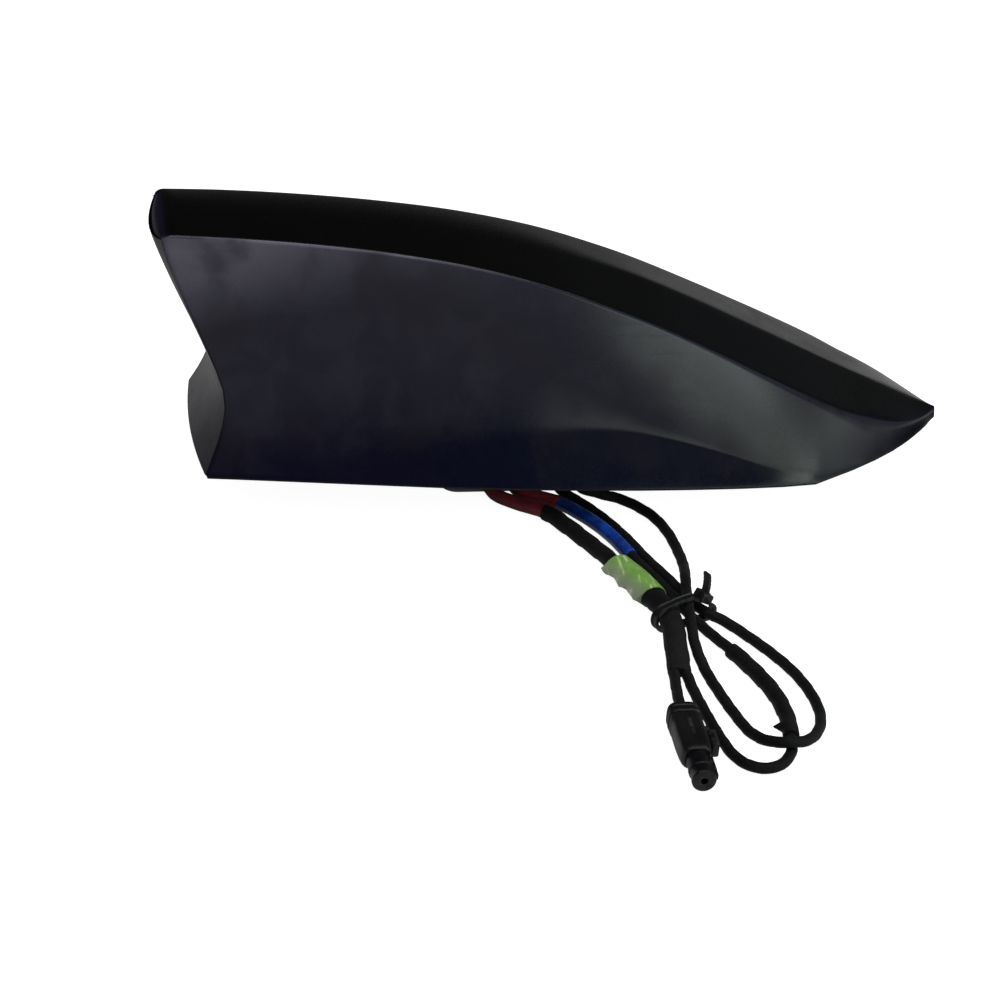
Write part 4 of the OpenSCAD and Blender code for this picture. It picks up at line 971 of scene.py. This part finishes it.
def label_paper():
    material = finish("creased label paper", (104, 152, 58), (124, 164, 88), 0.5, fineness=1800.0,
                      depth=0.05, patches=420.0, mottle=1500.0, spread=0.2, dust=0.1, gloss=0.4)
    tree, shader, colour = opened(material)
    x, y, _ = parts_of(tree, object_place(tree))
    flag_side = ramp(tree, plus(tree, x, times(tree, y, 0.42)), -0.0065, -0.0105)
    colour = tinted(tree, colour, times(tree, flag_side, 0.85), FLAG_GREY)
    streaks = noise_node(tree, 950.0, detail=3.0, place=stretched_place(tree, (1, 0.16, 0.5)))
    streaks = ramp(tree, streaks, 0.55, 0.72)
    colour = tinted(tree, colour, times(tree, streaks, 0.75), WORN_PAPER)
    tree.links.new(colour, shader.inputs["Base Color"])
    return material


dress(sweep("green_label", LABEL_LINE, label, label_paper(), 56, start, label_end, label_bore, 18),
      "paper_label")
print("label length:", round(travelled(LABEL_LINE)[-1], 1), "mm")

# %% [markdown]
# ## Cable tie and plug
#
# Hard plastic pieces are made of blocks with rounded edges, plus one sweep each: the tie's strap is
# pulled tight round the leads and has two raised rails, and the plug's body changes its section
# along its length.

# %% Blocks with rounded edges
def rounded_block(shape, size, middle, edge=0.3, turn=None):
    """Add a box with rounded edges, in millimetres, to a bmesh."""
    made = bmesh.ops.create_cube(shape, size=1)["verts"]
    place = Matrix.Translation(middle) @ (turn or Matrix.Identity(4)) @ Matrix.Diagonal((*size, 1))
    bmesh.ops.transform(shape, matrix=place, verts=made)
    edges = list({e for v in made for e in v.link_edges})
    bmesh.ops.bevel(shape, geom=edges, offset=edge, segments=3, profile=0.5, affect="EDGES")


def from_shape(name, shape, material, place):
    """Turn a bmesh drawn in millimetres into an object; place is the matrix to the shared frame."""
    bmesh.ops.transform(shape, matrix=Matrix.Scale(MM, 4) @ place, verts=shape.verts)
    mesh = bpy.data.meshes.new(name)
    shape.to_mesh(mesh)
    shape.free()
    return as_object(name, mesh, material, 40)


def closed_sweep(shape, rings):
    """Add a tube whose last ring joins the first one."""
    verts = [[shape.verts.new(p) for p in ring] for ring in rings]
    for i, ring in enumerate(verts):
        after = verts[(i + 1) % len(verts)]
        for k in range(len(ring)):
            m = (k + 1) % len(ring)
            shape.faces.new((ring[m], ring[k], after[k], after[m]))


# %% The cable tie
TIE_MIDDLE, TIE_TURN = Vector((29.1, -78.8)), 24
HEAD_TURN, STRAP_END_TURN, STRAP_TEETH = -31, 110, 10
TIE_WIDTH, TIE_THICKNESS, TIE_SIDES = 2.4, 0.9, 72
# For each lead in the tie: its place across, its height and the radius it needs.
TIE_LEADS = ((-5.15, -8.23, 2.72), (-3.9, -8.23, 2.72), (2.19, -9.54, 1.45), (7, -9.53, 1.52),
             (1.35, -6.36, 1.76))


def tie_reach(angle):
    """How far the leads in the tie reach in a direction."""
    return max(x * math.cos(angle) + z * math.sin(angle) + r for x, z, r in TIE_LEADS)


def tie_rings():
    """The strap is tight round the leads: tangents at even turns meet at its corners."""
    w, t, rings = TIE_WIDTH / 2, TIE_THICKNESS, []
    profile = ((-w, t - 0.12), (-w + 0.12, t), (-w + 0.5, t), (-w + 0.62, t - 0.28),
               (w - 0.62, t - 0.28), (w - 0.5, t), (w - 0.12, t), (w, t - 0.12), (w, 0.02), (-w, 0.02))
    for n in range(TIE_SIDES):
        a, b = 2 * math.pi * n / TIE_SIDES, 2 * math.pi * (n + 1) / TIE_SIDES
        h, k, s = tie_reach(a), tie_reach(b), math.sin(b - a)
        p = Vector(((h * math.sin(b) - k * math.sin(a)) / s, (k * math.cos(a) - h * math.cos(b)) / s))
        out = Vector((math.cos((a + b) / 2), math.sin((a + b) / 2)))
        rings.append([Vector((p.x + out.x * h, p.y + out.y * h, v)) for v, h in profile])
    return rings


def turned(degrees, axis="Z"):
    return Matrix.Rotation(math.radians(degrees), 4, axis)


tie_finish = finish("cable tie nylon", (17, 17, 19), (11, 11, 13), 0.33, fineness=2800.0, depth=0.01,
                    patches=180.0, spread=0.14, dust=0.05, rubbed=0.5, rubbed_and_glint_colour=(84, 84, 88))
shape = bmesh.new()
closed_sweep(shape, tie_rings())
head = Matrix.Translation((4.7, -6.81, 0)) @ turned(HEAD_TURN)
for size, middle, edge in (((3.5, 2.3, TIE_WIDTH + 1.5), (0, TIE_THICKNESS + 1.05, 0), 0.45),
                           ((2.0, 0.6, TIE_WIDTH - 0.6), (0.2, TIE_THICKNESS + 2.1, 0), 0.2)):
    rounded_block(shape, size, head @ Vector(middle), edge, turned(HEAD_TURN))
strap_end = head @ Matrix.Translation((-0.6, TIE_THICKNESS + 2.1, 0)) @ turned(STRAP_END_TURN)
for n in range(STRAP_TEETH):
    size = (0.58, TIE_THICKNESS - 0.12 * (n % 2), TIE_WIDTH - 0.1)
    middle = Vector((0.28 + 0.51 * n, -TIE_THICKNESS / 2 + 0.012 * n ** 2, 0))
    rounded_block(shape, size, strap_end @ middle, 0.1, turned(HEAD_TURN + STRAP_END_TURN))
tie_place = Matrix.Translation((TIE_MIDDLE.x, TIE_MIDDLE.y, 0)) @ turned(TIE_TURN) @ turned(90, "X")
dress(from_shape("tie", shape, tie_finish, tie_place), "cable_tie")
print("cable tie drawn")

# %% The plug
PLUG_REAR, PLUG_HEIGHT = FRONT_ROUTE[-1], 7.0
PLUG_LIFT = TABLE_Z / MM + PLUG_HEIGHT / 2 - PLUG_REAR.z
NOSE_DROP = -0.4
HOUSING_CORNER = 3.6       # the power of the rounded rectangle: 2 is an ellipse, more is squarer
plug_finish = finish("plug plastic", (13, 13, 15), (8, 8, 10), 0.36, fineness=3000.0, depth=0.02,
                     patches=200.0, spread=0.14, dust=0.05, rubbed=0.5, rubbed_and_glint_colour=(66, 66, 70))


def along_plug(x):
    return PLUG_REAR + PLUG_WAY * x + Vector((0, 0, PLUG_LIFT))


# Distance along the plug with half width and half height, and for the nose with its radius.
HOUSING = ((0, 3.2, 2.9), (0.35, 3.6, 3.3), (0.9, 3.8, 3.48), (1.5, 3.8, 3.48), (1.8, 3.62, 3.3),
           (2.6, 3.62, 3.3), (2.9, 3.9, 3.42), (3.6, 3.9, 3.42), (3.9, 3.6, 3.25), (4.7, 3.6, 3.25),
           (5.0, 3.85, 3.42), (5.8, 3.85, 3.42), (6.2, 3.7, 3.4), (12, 3.78, 3.48),
           (15.5, 3.7, 3.42), (17.6, 3.5, 3.25), (18.6, 3.2, 3.0), (19, 2.85, 2.7))
NOSE = ((18.6, 2.6), (19.2, 2.66), (22.4, 2.66), (22.7, 2.88), (23.6, 2.88), (23.9, 2.7),
        (26.2, 2.7), (26.6, 2.88), (27.2, 2.88), (27.5, 2.7))


def step_size(table, s, column):
    """Straight steps through a table, which keeps the edges of collars crisp."""
    for a, b in zip(table, table[1:]):
        if s <= b[0]:
            return between(a[column], b[column], (s - a[0]) / (b[0] - a[0]))
    return table[-1][column]


def housing_ring(s, turn):
    wide, high = step_size(HOUSING, s, 1), step_size(HOUSING, s, 2)
    c, n = math.cos(turn), math.sin(turn)
    r = (abs(c) ** HOUSING_CORNER + abs(n) ** HOUSING_CORNER) ** (-1 / HOUSING_CORNER)
    return wide * c * r, high * n * r


def stations_of(table):
    places = []
    for a, b in zip(table, table[1:]):
        count = max(1, round((b[0] - a[0]) / 1.2))
        places += [between(a[0], b[0], i / count) for i in range(count)]
    return places + [table[-1][0]]


def nose_ring(s, turn):
    x, y = polar(step_size(NOSE, s + NOSE[0][0], 1), turn)
    return x, y + NOSE_DROP


def nose_bore(s, turn):
    """A bore that narrows to a small mouth."""
    x, y = polar(between(2.0, 0.85, share(s - 7.3, 0.4)), turn)
    return x, y + NOSE_DROP


for name, node, table, ring, bore in (("plug_body", "plug_housing", HOUSING, housing_ring, None),
                                      ("plug_nose", None, NOSE, nose_ring, nose_bore)):
    line = [along_plug(x) for x in stations_of(table)]
    dress(sweep(name, line, ring, plug_finish, 48, PLUG_WAY, PLUG_WAY, bore, 28), node)
across = Vector((0, 0, 1)).cross(PLUG_WAY)
plug_place = Matrix((PLUG_WAY, across, Vector((0, 0, 1)))).transposed().to_4x4()
plug_place.translation = along_plug(0)
shape = bmesh.new()
rounded_block(shape, (6, 2.0, 4), (13, 4.8, 0), 0.55)
rounded_block(shape, (3.4, 0.95, 2.4), (9.0, 4.25, 0), 0.3)
for n in range(4):
    rounded_block(shape, (0.5, 0.4, 3.2), (11.4 + 1.0 * n, 5.7, 0), 0.12)
dress(from_shape("plug_slide", shape, plug_finish, plug_place), "plug_lock")
shape = bmesh.new()
rounded_block(shape, (5.6, 1.3, 1.6), (21.6, 2.9, -0.2), 0.3)
rounded_block(shape, (2.0, 1.1, 1.6), (25.4, 2.95, -0.2), 0.35)
for n in (-1, 0, 1):
    rounded_block(shape, (6.4, 0.5, 0.35), (10.5, 0.24 * n, 3.35), 0.12)
dress(from_shape("plug_ribs", shape, plug_finish, plug_place), None)
print("plug drawn")


draw_lead("front_lead", FRONT_ROUTE, PLUG_WAY)
draw_lead("blue_lead", BLUE_ROUTE, -WRAP_END_WAY)
draw_lead("loop_lead", LOOP_ROUTE, INTO_SLOT)

# %% [markdown]
# ## The pieces inside
#
# They are seen when the aerial is turned over or taken apart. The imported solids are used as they
# are, with a small bevel so that their edges catch the light, and each gets the finish of its
# material.

# %% Finishes of the pieces inside
rubber = finish("seal rubber", (22, 22, 22), (14, 14, 14), 0.75, fineness=1800.0, depth=0.06,
                dust=0.2)
alloy = finish("cast alloy", (168, 170, 172), (140, 142, 145), 0.42, metal=1.0, fineness=1400.0,
               depth=0.08, patches=90.0, spread=0.16)
steel = finish("spring steel", (190, 192, 196), (165, 167, 172), 0.28, metal=1.0, fineness=3000.0,
               depth=0.02, patches=120.0, spread=0.12)
laminate = finish("solder mask", (18, 84, 44), (12, 62, 33), 0.35, fineness=2600.0, depth=0.02,
                  patches=140.0, coat=0.3)
tinned = finish("tinned sheet", (196, 199, 200), (172, 175, 178), 0.3, metal=1.0, fineness=900.0,
                depth=0.03, patches=160.0, spread=0.16)
chip = finish("chip plastic", (30, 30, 33), (22, 22, 24), 0.6, fineness=3200.0, depth=0.03)
ceramic = finish("patch ceramic", (196, 184, 150), (178, 164, 130), 0.6, fineness=2200.0, depth=0.03,
                 patches=150.0)
silver = finish("silver plating", (214, 214, 212), (190, 190, 190), 0.3, metal=1.0, fineness=2500.0,
                depth=0.02, patches=180.0, spread=0.18)
brass = finish("contact brass", (196, 160, 92), (172, 136, 74), 0.3, metal=1.0, fineness=2600.0,
               depth=0.02, patches=150.0, spread=0.14)
copper = finish("enamelled wire", (168, 92, 50), (136, 70, 36), 0.3, metal=1.0, fineness=2600.0,
                depth=0.02, coat=0.5)
carrier = finish("carrier plastic", (40, 40, 44), (30, 30, 34), 0.5, fineness=3200.0, depth=0.03)
sponge = finish("open foam", (52, 52, 55), (30, 30, 32), 0.9, fineness=1500.0, depth=0.3,
                patches=400.0)
jacket = finish("lead jacket", (20, 20, 22), (14, 14, 15), 0.5, fineness=2600.0, depth=0.02)
insulator = finish("white insulator", (226, 222, 208), (206, 200, 184), 0.45, fineness=2400.0,
                   depth=0.02)

FINISHED = (
    (rubber, "base_seal", "cable_grommet"), (alloy, "base_plate", "clip_rivets"),
    (steel, "ground_spring", "snap_springs", "retaining_clips", "board_screws"),
    (jacket, "inner_leads"), (laminate, "main_board", "radio_board"),
    (tinned, "shield_can", "antenna_cap"), (chip, "board_chips"),
    (ceramic, "navigation_patch", "radio_patch"),
    (silver, "navigation_electrode", "radio_electrode"),
    (brass, "patch_pins", "front_antenna", "rear_antenna", "plug_contact", "plug_pin"),
    (copper, "radio_coil"), (carrier, "antenna_frame"), (sponge, "foam_pads"),
    (insulator, "plug_insulator"))
FINISH_OF = {name: material for material, *names in FINISHED for name in names}

# %% Dress the solids
EDGE = 0.12 * MM
for name, node in nodes.items():
    node.data.materials.clear()
    node.data.materials.append(FINISH_OF.get(name, plug_finish))
    if name not in FINISH_OF:       # a solid that a piece above stands for
        continue
    node.data.shade_smooth()
    weld = node.modifiers.new("weld", "WELD")
    weld.merge_threshold = 0.002 * MM
    bevel = node.modifiers.new("bevel", "BEVEL")
    bevel.width, bevel.segments = EDGE, 2
    bevel.limit_method, bevel.angle_limit = "ANGLE", math.radians(35)
    bevel.harden_normals = True
print("dressed solids:", len(FINISH_OF))

# %% [markdown]
# ## Table and light
#
# The photo's background is plain white. Dark plastic shows what it mirrors more than its own
# colour, so the table and the world have two faces: white for the camera, and a plan of dark and
# light fields for what the plastic mirrors. The table is evenly bright in front, and behind the
# aerial it is brighter towards the nose. The world is bright beyond the nose, dim at the horizon
# and dark above. Rays that aren't mirrored see at least an even grey, which keeps the shadow soft.
# Two cards that the camera doesn't see do the rest: a strip high up draws the upper crease, and a
# small one beside the nose lights its flank.

# %% Floor
FLOOR_SIZE = 6.0
TABLE_GREY = 0.45
TABLE_SHOWN = 0.93          # a little under white, so that the shadow still shows
FRONT_TABLE, TABLE_REST = 0.31, 0.02
REAR_TABLE, REAR_FIELD, REAR_STRIP, TAIL_FIELD = 0.06, 0.18, 0.22, 0.14


def mirrored_table(tree):
    """How bright each place of the table is in a mirror."""
    x, y, _ = parts_of(tree, object_place(tree))
    front = times(tree, ramp(tree, y, 0.0, -0.06), FRONT_TABLE)
    field = plus(tree, times(tree, ramp(tree, y, 0.32, 0.17), REAR_FIELD), REAR_TABLE)
    strip = times(tree, ramp(tree, y, 0.18, 0.12), ramp(tree, x, -0.05, 0.04), REAR_STRIP)
    tail = times(tree, ramp(tree, x, -0.4, -0.15), TAIL_FIELD)
    rear = plus(tree, times(tree, field, ramp(tree, x, -0.25, 0.12)), strip, tail)
    return plus(tree, front, times(tree, ramp(tree, y, 0.0, 0.05), rear), TABLE_REST)


def table_material():
    material = bpy.data.materials.new("pale table")
    material.use_nodes = True
    tree = material.node_tree
    shader = tree.nodes["Principled BSDF"]
    shader.inputs["Base Color"].default_value = (TABLE_GREY, TABLE_GREY, TABLE_GREY, 1)
    shader.inputs["Roughness"].default_value = 0.8
    shader.inputs["Specular IOR Level"].default_value = 0.0
    shader.inputs["Emission Color"].default_value = (1, 1, 1, 1)
    path = tree.nodes.new("ShaderNodeLightPath").outputs
    white = math_node(tree, "MAXIMUM", path["Is Camera Ray"], path["Is Transmission Ray"])
    tree.links.new(times(tree, white, TABLE_SHOWN), shader.inputs["Emission Strength"])
    mirrored = tree.nodes.new("ShaderNodeEmission")
    tree.links.new(mirrored_table(tree), mirrored.inputs["Strength"])
    mixer = tree.nodes.new("ShaderNodeMixShader")
    tree.links.new(path["Is Glossy Ray"], mixer.inputs["Fac"])
    tree.links.new(shader.outputs[0], mixer.inputs[1])
    tree.links.new(mirrored.outputs[0], mixer.inputs[2])
    tree.links.new(mixer.outputs[0], tree.nodes["Material Output"].inputs["Surface"])
    return material


def build_floor():
    mesh = bpy.data.meshes.new("floor")
    half = FLOOR_SIZE / 2
    corners = [(-half, -half, 0), (half, -half, 0), (half, half, 0), (-half, half, 0)]
    mesh.from_pydata(corners, [], [(0, 1, 2, 3)])
    mesh.materials.append(table_material())
    floor = bpy.data.objects.new("floor", mesh)
    floor.location.z = TABLE_Z
    bpy.context.scene.collection.objects.link(floor)


build_floor()
print("table at", TABLE_Z / MM, "mm")

# %% World
NOSE_SKY, HORIZON, HAZE = 1.1, 0.16, 0.055
NOSE_GLOW, LOW_GLOW, SKY_REST = 0.03, 0.02, 0.01
NOSE_TINT, REAR_TINT = (0.97, 1.03, 1.0, 1), (1.0, 0.97, 1.08, 1)
AMBIENT = 0.4


def sky(tree, x, y, z):
    """How bright each direction is in a mirror, and the share of the nose side in it."""
    nose_side = ramp(tree, x, 0.2, 0.5)
    bright = times(tree, nose_side, ramp(tree, y, 0.1, -0.75), ramp(tree, z, 0.62, 0.46), NOSE_SKY)
    low = times(tree, ramp(tree, z, 0.25, -0.05), HORIZON)
    wide = times(tree, ramp(tree, z, 0.6, 0.1), HAZE)
    front = times(tree, ramp(tree, y, 0.2, -0.3), plus(tree, low, wide))
    glow = plus(tree, times(tree, ramp(tree, x, 0.3, 0.65), NOSE_GLOW),
                times(tree, ramp(tree, z, 0.35, 0.15), LOW_GLOW), SKY_REST)
    return plus(tree, math_node(tree, "MAXIMUM", bright, front), glow), nose_side


def build_world():
    world = bpy.data.worlds.new("studio")
    bpy.context.scene.world = world
    world.use_nodes = True
    tree = world.node_tree
    background = tree.nodes["Background"]
    path = tree.nodes.new("ShaderNodeLightPath").outputs
    way = tree.nodes.new("ShaderNodeTexCoord").outputs["Generated"]
    light, nose_side = sky(tree, *parts_of(tree, way))
    tint = mix_colour(tree, nose_side, REAR_TINT, NOSE_TINT)
    seen = mix_colour(tree, path["Is Camera Ray"], tint, (1, 1, 1, 1))
    tree.links.new(seen, background.inputs["Color"])
    soft = times(tree, math_node(tree, "SUBTRACT", 1.0, path["Is Glossy Ray"]), AMBIENT)
    light = math_node(tree, "MAXIMUM", light, soft)
    light = math_node(tree, "MAXIMUM", light, path["Is Camera Ray"])
    tree.links.new(light, background.inputs["Strength"])


build_world()
print("world:", bpy.context.scene.world.name)

# %% Lamps
def add_lamp(name, place, aim, size, power, colour=(1, 1, 1)):
    """An area lamp: a disk of one size, or a card of two sizes that is also seen in a mirror."""
    lamp = bpy.data.lights.new(name, "AREA")
    lamp.energy, lamp.color = power, colour
    lamp.size = size[0]
    if len(size) == 2:
        lamp.shape, lamp.size_y = "RECTANGLE", size[1]
    else:
        lamp.shape = "DISK"
    item = bpy.data.objects.new(name, lamp)
    item.visible_glossy = len(size) == 2
    item.visible_camera = False
    item.location = place
    item.rotation_euler = (Vector(aim) - Vector(place)).to_track_quat("-Z", "Y").to_euler()
    bpy.context.scene.collection.objects.link(item)


add_lamp("overhead", (0.1, -0.15, 1.2), (0, 0, 0), (0.8,), 6)
add_lamp("crease strip", (0.1, -0.25, 1.1), (0, 0, 0), (1.5, 0.15), 1.6)
add_lamp("nose card", (0.152, -0.15, 0.054), (0.152, 0, 0.054), (0.215, 0.088), 0.08,
         (0.95, 1.05, 0.92))
bpy.context.scene.view_settings.view_transform = "Standard"
print("lamps:", [lamp.name for lamp in bpy.data.lights])
